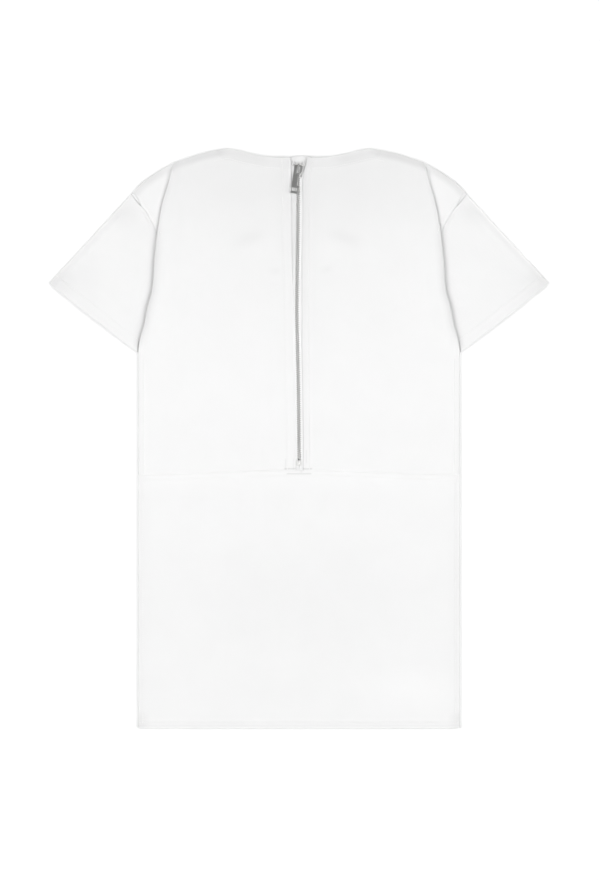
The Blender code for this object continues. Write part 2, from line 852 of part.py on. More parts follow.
def zip_slider(material):
    """Slider body with the arched bridge that holds the pull."""
    slider = add_object("zip_slider", slider_body(), material)
    slider.location = (SLIDER_MID[0] * MM, SLIDER_MID[1] * MM, chain_base() * MM)
    slider.rotation_euler.z = SLIDER_TURN
    inner = arch(BRIDGE_HALF - BRIDGE_BAR, BRIDGE_HEIGHT - BRIDGE_BAR, 1.3)
    outline = arch(BRIDGE_HALF, BRIDGE_HEIGHT, 1.3 + BRIDGE_BAR) + inner[::-1]
    bridge = add_plate("bridge", [outline], BRIDGE_WIDTH, material)
    bridge.location = (slider.location.x, slider.location.y, slider_top() * MM)
    bridge.rotation_euler = (pi / 2, 0.0, pi / 2 + SLIDER_TURN)
    joined = slider.modifiers.new("bridge", "BOOLEAN")
    joined.operation = "UNION"
    joined.object = as_mesh_object(bridge)
    return slider


def slider_top():
    return chain_base() + SLIDER_SECTIONS[-1]["height"]


def cut_corners(points, reach):
    """A closed outline with each corner replaced by two points beside it."""
    result = []
    for before, corner, after in zip(points[-1:] + points[:-1], points, points[1:] + points[:1]):
        for other in (before, after):
            share = reach / hypot(other[0] - corner[0], other[1] - corner[1])
            result.append((corner[0] + share * (other[0] - corner[0]),
                           corner[1] + share * (other[1] - corner[1])))
    return result


def zip_pull(material):
    """Pull tab: a head with an eye round the bridge, a plain plate and a windowed end."""
    window_left, window_right, window_near, window_far = PULL_WINDOW
    corner, slant = PULL_CORNER, 2 * PULL_CORNER
    rim = [(PULL_HEAD_RIGHT - corner, PULL_BAR), (PULL_HEAD_RIGHT, PULL_BAR - corner)]
    rim += [(PULL_HEAD_RIGHT, -PULL_SHOULDER), (PULL_HALF, -PULL_NECK)]
    rim += [(PULL_HALF, slant - PULL_FRAME_NEAR), (PULL_FRAME_RIGHT, -PULL_FRAME_NEAR)]
    rim += [(PULL_FRAME_RIGHT, corner - PULL_END), (PULL_FRAME_RIGHT - corner, -PULL_END)]
    rim += [(corner - PULL_HALF, -PULL_END), (-PULL_HALF, corner - PULL_END)]
    rim += [(-PULL_HALF, PULL_BAR - corner), (corner - PULL_HALF, PULL_BAR)]
    eye = cut_corners(PULL_EYE, corner)
    window = rounded_box(window_left, window_right, -window_far, -window_near, 0.6, steps=3)
    pull = add_plate("zip_pull", [rim, eye, window], PULL_THICKNESS, material)
    pull.location = (PULL_AXIS[0] * MM, PULL_AXIS[1] * MM, (slider_top() + PULL_LIFT) * MM)
    pull.rotation_euler.z = PULL_TURN
    return pull


def main():
    denim = new_material("white_denim", (0.88, 0.88, 0.88), 0.85, 0.0)
    tape = new_material("white_tape", (0.84, 0.84, 0.84), 0.8, 0.0)
    metal = new_material("nickel", (0.62, 0.62, 0.61), 0.28, 1.0)
    front_bodice(denim)
    skirt_front(denim)
    skirt_back(denim)
    zip_guard(denim)
    for side in (-1, 1):
        back_bodice(side, denim)
        sleeve(side, denim)
        zip_tape(side, tape)
    zip_chain(metal)
    zip_stops(metal)
    zip_slider(metal)
    zip_pull(metal)


for leftover in list(bpy.data.objects):
    bpy.data.objects.remove(leftover)
DRESS = new_collection("denim_dress")
TOOLS = new_collection("tools")
main()
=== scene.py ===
"""Looks of a mini dress in white denim, laid flat with its back up: cloth, thread, zip and light.

Lengths are in millimetres and turn into metres where a mesh is made. X runs across the garment,
+Y towards the neck and +Z up from the surface that the front lies on. The surfaces repeat the
named values of the part's source at a finer spacing, and add what the part leaves out: rolled
edges, seam relief, soft creases, stitches, single teeth, and the finish of cloth and metal.
"""

import json
from math import ceil, cos, hypot, pi, radians, sin

import bmesh
import bpy
import numpy as np
from mathutils import Matrix, Vector
from mathutils.bvhtree import BVHTree


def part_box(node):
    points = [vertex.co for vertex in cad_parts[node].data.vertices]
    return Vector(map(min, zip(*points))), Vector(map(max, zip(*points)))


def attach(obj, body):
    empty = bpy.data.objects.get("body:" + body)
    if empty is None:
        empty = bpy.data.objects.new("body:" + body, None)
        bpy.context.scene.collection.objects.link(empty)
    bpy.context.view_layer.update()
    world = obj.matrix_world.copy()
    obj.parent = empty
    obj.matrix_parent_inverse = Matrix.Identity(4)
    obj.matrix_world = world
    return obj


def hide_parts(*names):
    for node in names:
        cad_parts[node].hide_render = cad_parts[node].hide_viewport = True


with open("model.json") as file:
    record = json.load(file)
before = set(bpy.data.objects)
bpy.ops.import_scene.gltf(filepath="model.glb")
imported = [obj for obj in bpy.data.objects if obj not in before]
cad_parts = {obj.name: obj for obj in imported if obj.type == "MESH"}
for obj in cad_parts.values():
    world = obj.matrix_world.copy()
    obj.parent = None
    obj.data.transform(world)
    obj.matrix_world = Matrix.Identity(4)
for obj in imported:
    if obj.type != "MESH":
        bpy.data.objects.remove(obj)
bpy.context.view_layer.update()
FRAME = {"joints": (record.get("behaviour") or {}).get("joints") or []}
MM = 0.001
SIDES = {-1: "left", 1: "right"}

# ---------------------------------------------------------------- sizes

# Cloth and the layers that it lies in
WALL = 1.0
GAP = 0.35
LAYER_STEP = WALL + GAP
FOLD_REACH = (LAYER_STEP + WALL) / 2
LOFT = 3.4

# Garment
SKIRT_LOW, SKIRT_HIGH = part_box("skirt_back")
HALF_WIDTH, HEM_Y = SKIRT_HIGH[0] / MM, SKIRT_LOW[1] / MM
WAIST_MID_Y = -48.0
WAIST_SIDE_Y = -54.7
NECK_MID_Y = 421.5
SHOULDER_TIP = (252.0, 366.0)
SLEEVE_TIP = (375.0, 233.0)
FRONT_NECK_DEPTH = 88.0
SHOULDER_PUFF = 0.8
SLEEVE_PUFF = 1.1
SLEEVE_START = 0.03
PLACKET_FLAT = 16.0
PLACKET_FALL = 30.0

# Folds are rounder here than in the part
ARC_STEPS = 8
ARC_STEP = LAYER_STEP / sum(sin(pi * (step + 0.5) / ARC_STEPS) for step in range(ARC_STEPS))
RUN_STEPS = 5
OUTER_STEPS = 26


def layer(number):
    """Height of the middle of a layer of cloth, counted from the surface."""
    return WALL / 2 + number * LAYER_STEP


FRONT_Z, UNDER_Z, TUCKED_Z, TOP_Z = (layer(number) for number in range(4))


def table(columns, *rows):
    """Columns of numbers by name, from rows under their names."""
    names = columns.split()
    return {name: np.array([row[i] for row in rows], float) for i, name in enumerate(names)}


# Back neckline from the zip to the shoulder
NECKLINE = table(
    "across up",
    (0, 422), (22, 420.7), (40, 421.2), (58, 424.2), (76, 428), (92, 432), (107, 435),
)

# Shoulder edge from the neck to the armhole seam
SHOULDER = table(
    "across up",
    (107, 435), (130.5, 431), (148.5, 427), (166.5, 421), (184.5, 414.8), (202.5, 406),
    (220.5, 394.5), (238.5, 381), (252, 366),
)

# Outer edge of the back bodice: the crease over the sleeve, then the side seam.
# turn: how far the cloth turns under, in degrees; tuck: how far it runs back under itself
SIDE = table(
    "up across turn tuck rest",
    (413, 189, 0, 0.3, 3.2), (409, 190, 25, 0.3, 3.2), (404, 191, 60, 0.3, 3.2),
    (399, 192.2, 100, 0.3, 3.2), (394, 193.2, 140, 0.4, 3.2), (388, 194.5, 172, 0.8, 3.2),
    (381, 196.2, 180, 3, 3.2), (358, 203.3, 180, 8, 3.2), (340, 207.5, 180, 11, 3.2),
    (318, 211, 180, 14, 3.2), (290, 214.8, 180, 16.5, 3.2), (262, 217.3, 180, 18, 3.2),
    (240, 218.5, 180, 17, 3.2), (221, 220.6, 180, 15, 3.2), (198, 227, 180, 12, 3.2),
    (184, 229.6, 180, 10, 3.2), (172, 231.8, 180, 8, 3.2), (156, 236.6, 180, 4, 3.2),
    (148, 238.8, 180, 1.5, 3.2), (141, 240.2, 130, 0.6, 2.9), (134, 241, 80, 0.5, 2.2),
    (126, 241.4, 60, 0.5, 1.75), (90, 241.5, 60, 0.5, 1.75), (40, 241.5, 60, 0.5, 1.75),
    (-10, 241.5, 60, 0.5, 1.75), (WAIST_SIDE_Y, 241.5, 60, 0.5, 1.75),
)
SIDE_TOP = SIDE["up"][0]
ARMHOLE_END_Y = 262.0
CREASE_END_Y = 156.0
SHOULDER_START = (SHOULDER["across"][0], SHOULDER["up"][0])

# Armhole seam of the back, from the shoulder tip to where the crease hides it
ARMHOLE = table(
    "across up",
    (252, 366), (241, 352.5), (231.6, 343), (224.2, 331), (216.6, 317), (206.5, 290), (200.5, 262),
)

# Inner edge of the sleeve's upper layer, hidden under the crease down to the cuff
UNDERARM = table(
    "across up",
    (206, 236), (212, 215), (219, 196), (226, 174), (235, 155), (240.6, 143), (242.6, 129),
)

# Front armhole seam below the shoulder part
FRONT_ARMHOLE = table(
    "across up",
    (216.6, 317), (214.8, 290), (217.3, 262), (218.5, 240), (220.6, 221), (227, 198), (231.8, 172),
    (236.6, 155), (240.2, 141), (241.5, 128.6),
)

# Folded edges of the two back halves beside the zip
OPENING = table(
    "up left right",
    (426, -13.5, 12.5), (411, -12.6, 10.5), (403, -12.2, 7.6), (396, -12, 6.4), (380, -12, 5.6),
    (300, -11.6, 4.8), (230, -9.6, 4.2), (190, -8.2, 4.2), (60, -6.4, 5.2), (0, -5, 6.2),
    (-60, -4.9, 6.2),
)

# Middle line of the chain, and half the free width between the tapes
ZIP_LINE = table(
    "up middle free",
    (415, -0.8, 5.6), (393, -1.6, 5.6), (389, -1.7, 4.45), (357, -1.6, 4.45), (300, -1.9, 4.45),
    (240, -2.9, 4.45), (192, -3.3, 4.45), (130, -2.2, 4.45), (60, -0.8, 4.45), (-18, 0, 4.45),
    (-41.2, 0.3, 4.45), (-41.6, 0.8, 0.2), (-45, 1.6, 0.2), (-55, 1.8, 0.2),
)


# ---------------------------------------------------------------- curves through tables


def mix(start, end, share):
    return start + (end - start) * share


def ease(share):
    """Smooth step from 0 to 1, of a number or of an array."""
    share = np.clip(share, 0.0, 1.0)
    return share * share * (3 - 2 * share)


def smooth(keys, values, at):
    """Values at places on the curve through (key, value) points that never overshoots them."""
    at = np.clip(at, keys[0], keys[-1])
    steps = np.diff(values) / np.diff(keys)
    before, after = steps[:-1], steps[1:]
    joined = before * after > 0
    total = np.where(joined, before + after, 1.0)
    inner = np.where(joined, 2 * before * after / total, 0.0)
    slope = np.concatenate([steps[:1], inner, steps[-1:]])
    index = np.clip(np.searchsorted(keys, at, side="right") - 1, 0, len(keys) - 2)
    span = keys[index + 1] - keys[index]
    t = (at - keys[index]) / span
    start = (1 + 2 * t) * (1 - t) ** 2 * values[index] + t * (1 - t) ** 2 * span * slope[index]
    end = t * t * (3 - 2 * t) * values[index + 1]
    return start + end + t * t * (t - 1) * span * slope[index + 1]


def read(rows, at, column):
    """A column of a table at any values of its first column."""
    keys = next(iter(rows.values()))
    order = np.argsort(keys)
    return smooth(keys[order], rows[column][order], at)


def plan(across, up):
    """Plan points from their coordinates."""
    return np.stack([across, up], axis=-1)


def path_of(rows):
    return plan(rows["across"], rows["up"])


def points_at(across, up, height=0.0):
    """Points of one row, at a height or at heights of their own."""
    return np.stack(np.broadcast_arrays(across, up, height), axis=-1)


def lengths(points):
    """Distance along a chain of plan points, at each of them."""
    return np.concatenate([[0.0], np.cumsum(np.hypot(*np.diff(points, axis=0).T))])


def along(points, share):
    """Points at shares of the length of the smooth line through plan points."""
    places = lengths(points)
    at = np.asarray(share) * places[-1]
    return plan(*(smooth(places, points[:, axis], at) for axis in (0, 1)))


def headings(points):
    """Unit directions of travel along a chain of plan points."""
    before = np.concatenate([points[:1], points[:-1]])
    after = np.concatenate([points[1:], points[-1:]])
    return (after - before) / np.hypot(*(after - before).T)[:, None]


def shifted(points, distance):
    """Plan points moved to the left of their direction of travel."""
    run = headings(points)
    return points + distance * plan(-run[:, 1], run[:, 0])


def spaced(*stops):
    """Places between (place, step) stops, each stretch cut into equal steps of about that size."""
    places = [np.array([stops[0][0]])]
    for (start, step), (end, _) in zip(stops, stops[1:]):
        count = max(1, ceil(abs(end - start) / step))
        places.append(np.linspace(start, end, count + 1)[1:])
    return np.concatenate(places)


def nearest(points, line):
    """Distances in plan from points to a chain."""
    flat = points.reshape(-1, 2)
    start, run = line[:-1], np.diff(line, axis=0)
    offset = flat[:, None, :] - start[None]
    share = np.clip((offset * run).sum(-1) / np.hypot(*run.T)**2, 0.0, 1.0)
    away = np.hypot(*np.moveaxis(offset - share[..., None] * run, -1, 0))
    return away.min(axis=1).reshape(points.shape[:-1])


def beside(across, up, rows):
    """Distances from the line of a table."""
    return nearest(plan(across, up), path_of(rows))


# ---------------------------------------------------------------- relief

NECK_BAND = 17.0                # width of the faced neck edge
NECK_STITCH = 15.5
BAND_RISE = 0.45
HEM_DEPTH = 10.0                # turned-up cloth at the skirt's hem
HEM_STITCH = 8.2
HEM_RISE = 0.5
CUFF_DEPTH = 17.0
CUFF_STITCH = 15.5
CUFF_RISE = 0.22
CREST_RISE = 1.5                # the crease over the sleeve stands this much prouder than the part
VALLEY_DEPTH = 2.2              # away from it the sleeve rises by this much
VALLEY_WIDTH = 15.0
SEAM_STITCH = 5.0               # beside the armhole seam, on the bodice
SKIRT_STITCH = 7.5              # below the waist seam
SIDE_STITCH = 7.5               # the side seams' stitches, in from the edge
PLACKET_STITCH = {"left": 12.6, "right": 9.6}   # in from the folded edges beside the zip
GROOVE_DEPTH = 0.3
GROOVE_WIDTH = 1.5
SIDE_GROOVE = (0.35, 1.8)       # depth and width beside the side seams
CUFF_GROOVE = 0.2
SEAM_ROLL = 0.5                 # a panel's edge sinks by this into its seam
SEAM_ROLL_WIDTH = 2.2
ARMHOLE_ROLL = 0.35             # the armhole's seam is pressed: this share of the others' roll
SEAM_CRACK = 0.1                # what is left open between two panels sewn edge to edge

# How strong the crease over the sleeve is at each height
CREASE = table(
    "up strength",
    (412, 0), (396, 0.35), (370, 0.6), (330, 0.75), (285, 0.85), (240, 1), (200, 1), (160, 0.85),
    (138, 0.5), (124, 0), (-60, 0),
)
CREASE_ROWS = slice(2, 22)      # of the SIDE table, along the crease

# Soft creases: where, which way they run, half length, half width and height, all placed one by
# one
BODICE_DRAGS = table(
    "across up angle length width height",
    (-76, 298, 17, 48, 11, 0.9), (-60, 272, 12, 52, 15, -0.5), (-120, 318, 28, 40, 16, -0.4),
    (66, 299, -16, 50, 12, 0.9), (84, 272, -10, 60, 15, -0.5), (130, 322, -26, 46, 17, 0.4),
    (-27, 250, 4, 24, 6, -0.6), (38, 255, -4, 24, 6, -0.6), (-150, 352, 62, 44, 13, 0.5),
    (152, 346, 118, 48, 13, 0.5), (-192, 246, 80, 62, 9, 0.6), (190, 238, 98, 58, 9, 0.6),
    (-182, 172, 58, 46, 12, 0.5), (176, 158, 124, 52, 13, 0.5), (-110, 96, 20, 70, 22, 0.5),
    (96, 120, -14, 74, 24, -0.5), (-60, -22, 84, 30, 7, 0.35), (-38, -14, 92, 26, 6, 0.4),
    (64, -20, 95, 30, 8, 0.3), (148, -16, 88, 34, 9, -0.35), (-158, -12, 94, 36, 10, 0.35),
)
# The same form: painted soft shades where the cloth drags down and out from the zip
BODICE_PAINTED_SHADES = table(
    "across up angle length width height",
    (-76, 297, 22, 42, 9, -0.036), (67, 298, -22, 42, 9, -0.036), (-36, 252, 0, 14, 5, -0.03),
    (41, 253, 0, 14, 5, -0.03),
)
SKIRT_DRAGS = table(
    "across up angle length width height",
    (-196, -118, 92, 62, 9, 0.5), (-168, -102, 87, 46, 7, -0.45), (-132, -112, 91, 54, 8, 0.5),
    (-96, -96, 88, 40, 6, -0.45), (-70, -104, 92, 48, 7, 0.5), (-44, -92, 90, 34, 5, -0.45),
    (12, -92, 88, 34, 6, -0.5), (26, -88, 96, 30, 5, 0.45), (54, -108, 91, 50, 8, 0.45),
    (86, -100, 86, 44, 7, -0.45), (122, -108, 104, 52, 8, 0.5), (158, -112, 90, 56, 9, -0.4),
    (198, -124, 88, 66, 9, 0.5), (-60, -230, 8, 110, 40, -0.6), (96, -262, -12, 100, 38, 0.5),
    (-150, -330, 22, 74, 26, 0.5), (150, -384, 14, 74, 17, 0.9), (196, -352, 28, 52, 20, 0.5),
    (-170, -408, 4, 44, 12, -0.5), (170, -416, 2, 40, 9, -0.4), (-20, -392, 6, 64, 16, 0.4),
)
SLEEVE_DRAGS = table(
    "across up angle length width height",
    (266, 318, 112, 34, 11, 0.6), (296, 276, 60, 52, 15, 0.9), (318, 262, 130, 40, 12, -0.7),
    (246, 262, 82, 52, 12, 0.8), (266, 226, 74, 46, 13, -0.7), (300, 222, 36, 46, 12, 0.6),
    (342, 248, 44, 24, 9, -0.5), (258, 182, 66, 34, 10, 0.6),
)
UNDULATIONS = ((70.0, 0.30), (26.0, 0.10), (9.0, 0.022))    # size and height of the cloth's waves


def creases(drags, across, up):
    """Height that the listed ridges and troughs add."""
    height = np.zeros(np.shape(across))
    for x, y, angle, length, width, rise in zip(*drags.values()):
        run, climb = cos(radians(angle)), sin(radians(angle))
        lengthwise = (across - x) * run + (up - y) * climb
        sideways = (up - y) * run - (across - x) * climb
        sideways = sideways + width / 4 * np.sin(lengthwise / length * 2 + x)
        height += rise * np.exp(-((sideways / width) ** 2)) * (1 - ease(abs(lengthwise) / length))
    return height


def undulation(across, up, seed):
    """The slight unevenness of pressed cloth, as a sum of smooth waves of several sizes."""
    height = np.zeros(np.shape(across))
    for number, (size, rise) in enumerate(UNDULATIONS):
        draw = np.random.default_rng(seed * 10 + number)
        for heading in draw.uniform(0, 2 * pi, 7):
            phase, stretch = draw.uniform(0, 2 * pi), draw.uniform(0.7, 1.4)
            place = across * cos(heading) + up * sin(heading)
            bend = 0.8 * np.sin((across * sin(heading) - up * cos(heading)) / size / stretch)
            height += rise * 0.38 * np.sin(2 * pi * place / size / stretch + phase + bend)
    return height


def crease_at(up):
    return read(CREASE, up, "strength")


def beside_crease(across, up):
    """Distance from the line of the crease over the sleeve."""
    return nearest(plan(across, up), path_of(SIDE)[CREASE_ROWS])


def groove(distance, depth=GROOVE_DEPTH, width=GROOVE_WIDTH):
    """Depth of the soft channel that a row of stitches pulls into the cloth."""
    return -depth * (1 - ease(abs(distance) / width))


def seam_roll(distance):
    """How far a panel's edge sinks into its seam."""
    return -SEAM_ROLL * (1 - ease(distance / SEAM_ROLL_WIDTH))


def turned(distance, depth, rise, reach=2.0):
    """Extra height over cloth that is turned under for a depth in from its edge."""
    return rise * (1 - ease((distance - depth + reach / 2) / reach))


# ---------------------------------------------------------------- meshes

RIM_SHARE = 0.3                 # bevel of a cut edge, as a share of the wall
RIM_ANGLE = radians(55)


def grid_faces(grid):
    """Quads between neighbouring rows of point numbers."""
    grid = np.asarray(grid)
    quads = [grid[:-1, :-1], grid[:-1, 1:], grid[1:, 1:], grid[1:, :-1]]
    return np.stack([corner.ravel() for corner in quads], axis=1)


def numbered(points):
    """Point numbers of a grid of points."""
    return np.arange(points[..., 0].size).reshape(points.shape[:2])


def tube_faces(rings, size):
    """Quads around a row of rings of points, and the two end faces."""
    faces = []
    for ring in range(0, (rings - 1) * size, size):
        for a, b in zip(range(ring, ring + size), [*range(ring + 1, ring + size), ring]):
            faces.append((a, b, b + size, a + size))
    return [*faces, tuple(range(size))[::-1], tuple(range((rings - 1) * size, rings * size))]


def link(name, data):
    """A new object in the scene."""
    thing = bpy.data.objects.new(name, data)
    bpy.context.scene.collection.objects.link(thing)
    return thing


def dressed(name, mesh, material, sharp=180):
    """An object of a mesh, smooth except at edges sharper than an angle."""
    mesh.name = name
    mesh.materials.clear()
    mesh.materials.append(material)
    mesh.shade_smooth()
    if sharp < 180:
        mesh.set_sharp_from_angle(angle=radians(sharp))
    return link(name, mesh)


def new_mesh(name, points, faces, material, sharp=180):
    """A mesh object from points in millimetres."""
    mesh = bpy.data.meshes.new(name)
    mesh.from_pydata((np.asarray(points) * MM).tolist(), [], faces)
    return dressed(name, mesh, material, sharp)


def finish_cloth(thing, offset=0.0, wall=WALL):
    """The wall of a sheet of cloth, with its cut edges rounded."""
    shell = thing.modifiers.new("wall", "SOLIDIFY")
    shell.thickness = wall * MM
    shell.offset = offset
    rim = thing.modifiers.new("rim", "BEVEL")
    rim.width = wall * RIM_SHARE * MM
    rim.segments = 2
    rim.limit_method = "ANGLE"
    rim.angle_limit = RIM_ANGLE
    return thing


def add_cloth(name, points, faces, material, flip=False, **finish):
    """A sheet of cloth with its wall, from points and quads."""
    faces = (faces[:, ::-1] if flip else faces).tolist()
    return finish_cloth(new_mesh(name, points, faces, material), **finish)


def add_sheet(name, rows, material, **how):
    """A sheet of cloth from rows of points."""
    points = np.array(rows)
    return add_cloth(name, points.reshape(-1, 3), grid_faces(numbered(points)), material, **how)


# ---------------------------------------------------------------- back bodice


def arc_points(turn, start, sign):
    """Offsets (outward, down) along a bend; sign is 1 to turn under and -1 to turn back."""
    out, down = start
    offsets = []
    for step in range(ARC_STEPS):
        share = (step + 0.5) / ARC_STEPS
        heading = turn * (share if sign > 0 else 1 - share)
        out += ARC_STEP * cos(heading)
        down += ARC_STEP * sin(heading)
        offsets.append((out, down))
    return offsets


def fold_down(turn, tuck):
    """Offsets (outward, down) of an edge that turns under and runs back."""
    offsets = arc_points(turn, (0.0, 0.0), 1)
    out, down = offsets[-1]
    for step in range(1, RUN_STEPS + 1):
        run = tuck * step / RUN_STEPS
        offsets.append((out + run * cos(turn), down + run * sin(turn)))
    return offsets


def fold_back(turn, tuck):
    """Offsets of the second turn, which sends the tucked cloth outward again."""
    return arc_points(turn, fold_down(turn, tuck)[-1], -1)


def side_row(up):
    """Everything that the SIDE table says at one height of the outer edge."""
    row = {name: float(read(SIDE, up, name)) for name in ("across", "turn", "tuck", "rest")}
    row["up"] = up
    row["turn"] = radians(row["turn"])
    if up >= ARMHOLE_END_Y:
        row["lip"] = UNDER_Z + fold_back(row["turn"], row["tuck"])[-1][1]
    else:
        row["lip"] = row["rest"] + fold_down(row["turn"], row["tuck"])[-1][1]
    bulge = max(out for out, _ in arc_points(row["turn"], (0.0, 0.0), 1))
    row["edge"] = row["across"] - bulge - WALL / 2 * sin(min(row["turn"], pi / 2))
    return row


def top_edge(across):
    """Height of the neckline and shoulder edge."""
    neck = read(NECKLINE, across, "up")
    return np.where(across < SHOULDER_START[0], neck, read(SHOULDER, across, "up"))


def waist(across):
    """Height of the waist seam, which dips towards the sides."""
    return mix(WAIST_MID_Y, WAIST_SIDE_Y, ease(abs(across) / HALF_WIDTH))


def side_share(inside, row):
    """Share of the outer edge's own height, at distances inside that edge."""
    level = row["tuck"] + 2 * row["turn"] / pi
    fall = mix(*SIDE_FALL, ease((row["tuck"] - 0.5) / 8))
    return 1 - ease((inside - level) / fall)


def bodice_height(across, up, zip_distance, row):
    """Middle of the back bodice's cloth at places inside its edges."""
    height = mix(LOFT, UNDER_Z, 1 - ease((top_edge(across) - up) / EDGE_FALL))
    height = mix(TOP_Z, height, ease((zip_distance - PLACKET_FLAT) / PLACKET_FALL))
    return mix(height, row["lip"], side_share(row["edge"] - across, row))


BODICE_ROWS = spaced((SIDE_TOP, 0.8), (392.0, 1.6), (376.0, 3.2), (ARMHOLE_END_Y, 3.2),
                     (150.0, 1.8), (120.0, 3.4), (-46.0, 1.2), (-51.5, 0.6), (WAIST_SIDE_Y, 1.0))
FROM_ZIP = spaced((0.0, 0.5), (2.0, 1.0), (7.0, 0.8), (15.0, 1.7), (24.0, 3.6), (60.0, 3.6))
FROM_EDGE = spaced((0.0, 0.8), (10.0, 1.4), (17.0, 3.5), (38.0, 3.5))
MIDDLE_COLUMNS = 30
EDGE_FALL = 14.0                # the cloth rises to its loft over this, in from the neck edge
SIDE_FALL = (13.0, 26.0)        # and over this from a side that is rolled or tucked under
UNDER_CREASE = 3.5              # the crease hides this much of the shoulder part beyond its tuck
TOP_ROWS = 6                    # rows over which the shoulder part joins the shoulder edge
TOP_ROLL = 0.4


def columns_over(width):
    """Distances from the zip's edge of the columns over a width, closer together at its ends."""
    outer = width - FROM_EDGE[::-1]
    middle = np.linspace(FROM_ZIP[-1], outer[0], MIDDLE_COLUMNS + 2)[1:-1]
    return np.concatenate([FROM_ZIP, middle, outer])


def bodice_main_row(row, side_name):
    """One row of the bodice from the zip to the crease or side seam."""
    share = (SIDE_TOP - row["up"]) / (SIDE_TOP - WAIST_SIDE_Y)
    zip_up = mix(NECK_MID_Y, WAIST_MID_Y, share)
    zip_across = abs(float(read(OPENING, zip_up, side_name)))
    inside = columns_over(row["edge"] - zip_across)
    place = inside / inside[-1]
    across = zip_across + inside
    start_across = mix(zip_across, side_row(SIDE_TOP)["edge"], place)
    level = mix(zip_up, row["up"], place)
    crown = top_edge(start_across) - mix(NECK_MID_Y, SIDE_TOP, place)
    sag = waist(across) - mix(WAIST_MID_Y, WAIST_SIDE_Y, place)
    up = level + crown * (1 - ease(share * 2.5)) + sag * ease((share - 0.5) * 2)
    height = bodice_height(across, up, inside, row)
    return points_at(across, up, height + bodice_relief(across, up, inside, row, side_name))


def bodice_relief(across, up, inside, row, side_name):
    """Band, placket and seam edges, creases and unevenness of the back bodice."""
    neck = beside(across, up, NECKLINE)
    below = up - waist(across)
    from_side = row["edge"] + 1.0 - across
    side = 1 if side_name == "right" else -1
    soft = creases(BODICE_DRAGS, side * across, up) + undulation(side * across, up, 3)
    soft *= ease(inside / 34) * ease(from_side / 26) * ease(neck / 30) * ease(below / 22)
    firm = turned(neck, NECK_BAND, BAND_RISE) + groove(neck - NECK_STITCH)
    firm += groove(inside - PLACKET_STITCH[side_name]) * ease(neck / 10)
    firm += 0.6 * seam_roll(inside) + seam_roll(below)
    firm += CREST_RISE * crease_at(row["up"]) * (1 - ease((from_side - 3.0) / 20))
    if row["up"] < 120:
        firm += groove(from_side - SIDE_STITCH, *SIDE_GROOVE)
    return soft + firm


# Directions in plan in which the outer edge folds: at its top, along the crease and at the side
FOLD_HEADINGS = np.array([(0.888, -0.46), (0.985, 0.17), (1, 0)])


def outward(row):
    """Direction in plan in which the outer edge of a row folds."""
    top, crease, side = FOLD_HEADINGS
    heading = mix(mix(top, crease, ease((SIDE_TOP - row["up"]) / 50)), side,
                  ease((CREASE_END_Y - row["up"]) / 10))
    return heading / hypot(*heading)


def folded_points(row, start, offsets):
    across, up = outward(row)
    return [(start[0] + across * out, start[1] + up * out, start[2] - down)
            for out, down in offsets]


def armhole_seam(rows):
    """Plan points of the back armhole seam, one for each row of the crease above it."""
    return along(path_of(ARMHOLE), (rows[0] - rows) / (rows[0] - rows[-1]))


def row_number(up):
    """Place of a height among the rows of the SIDE table, counted from the top."""
    return float(np.interp(-up, -SIDE["up"], np.arange(len(SIDE["up"]))))


def shoulder_part(row, valley, seam):
    """Cloth between the crease's hidden valley and the armhole seam."""
    number = row_number(row["up"])
    size = hypot(seam[0] - valley[0], seam[1] - valley[1])
    covered = row["tuck"] + UNDER_CREASE
    open_size = max(size - covered, 1.0)
    step = np.arange(OUTER_STEPS) / (OUTER_STEPS - 1)
    share = mix(min(covered / size, 0.4), 1.0, 1 - (1 - step) ** 1.35)
    across, up = mix(valley[0], seam[0], share), mix(valley[1], seam[1], share)
    if number < TOP_ROWS:
        rest = (1 - number / TOP_ROWS) * (row["up"] > SIDE_TOP - 30)
        up = up + (top_edge(across) - up) * rest
    clear = np.clip((share * size - covered) / open_size, 0.0, 1.0)
    puff = SHOULDER_PUFF * np.sin(pi * clear) * ease((open_size - 8) / 25) * ease(number / 3)
    from_seam = (1 - share) * size
    edge = ARMHOLE_ROLL * seam_roll(from_seam) + groove(from_seam - SEAM_STITCH, 0.25)
    edge = edge * ease(clear * 3) - TOP_ROLL * (1 - ease((top_edge(across) - up) / 1.8))
    rise = 0.6 * VALLEY_DEPTH * crease_at(row["up"]) * ease(clear * open_size / VALLEY_WIDTH)
    return list(zip(across, up, UNDER_Z + puff + edge + rise))


def back_bodice(side, material):
    """Half of the back: from the zip, over the crease and its tuck, to the armhole seam."""
    side_name = SIDES[side]
    seam = armhole_seam(BODICE_ROWS[BODICE_ROWS >= ARMHOLE_END_Y])
    points, main, shoulder = [], [], []
    for number, up in enumerate(BODICE_ROWS):
        row = side_row(up)
        line = bodice_main_row(row, side_name).tolist()
        edge = line[-1]
        line += folded_points(row, edge, fold_down(row["turn"], row["tuck"]))
        main.append(list(range(len(points), len(points) + len(line))))
        points += line
        if row["up"] < ARMHOLE_END_Y:
            continue
        beyond = folded_points(row, edge, fold_back(row["turn"], row["tuck"]))
        beyond += shoulder_part(row, beyond[-1], seam[number])
        shoulder.append([len(points) - 1, *range(len(points), len(points) + len(beyond))])
        points += beyond
    faces = np.concatenate([grid_faces(main), grid_faces(shoulder)])
    points = np.array(points) * (side, 1, 1)
    return add_cloth(f"cloth_back_bodice_{side_name}", points, faces, material, flip=side > 0)


# ---------------------------------------------------------------- sleeves


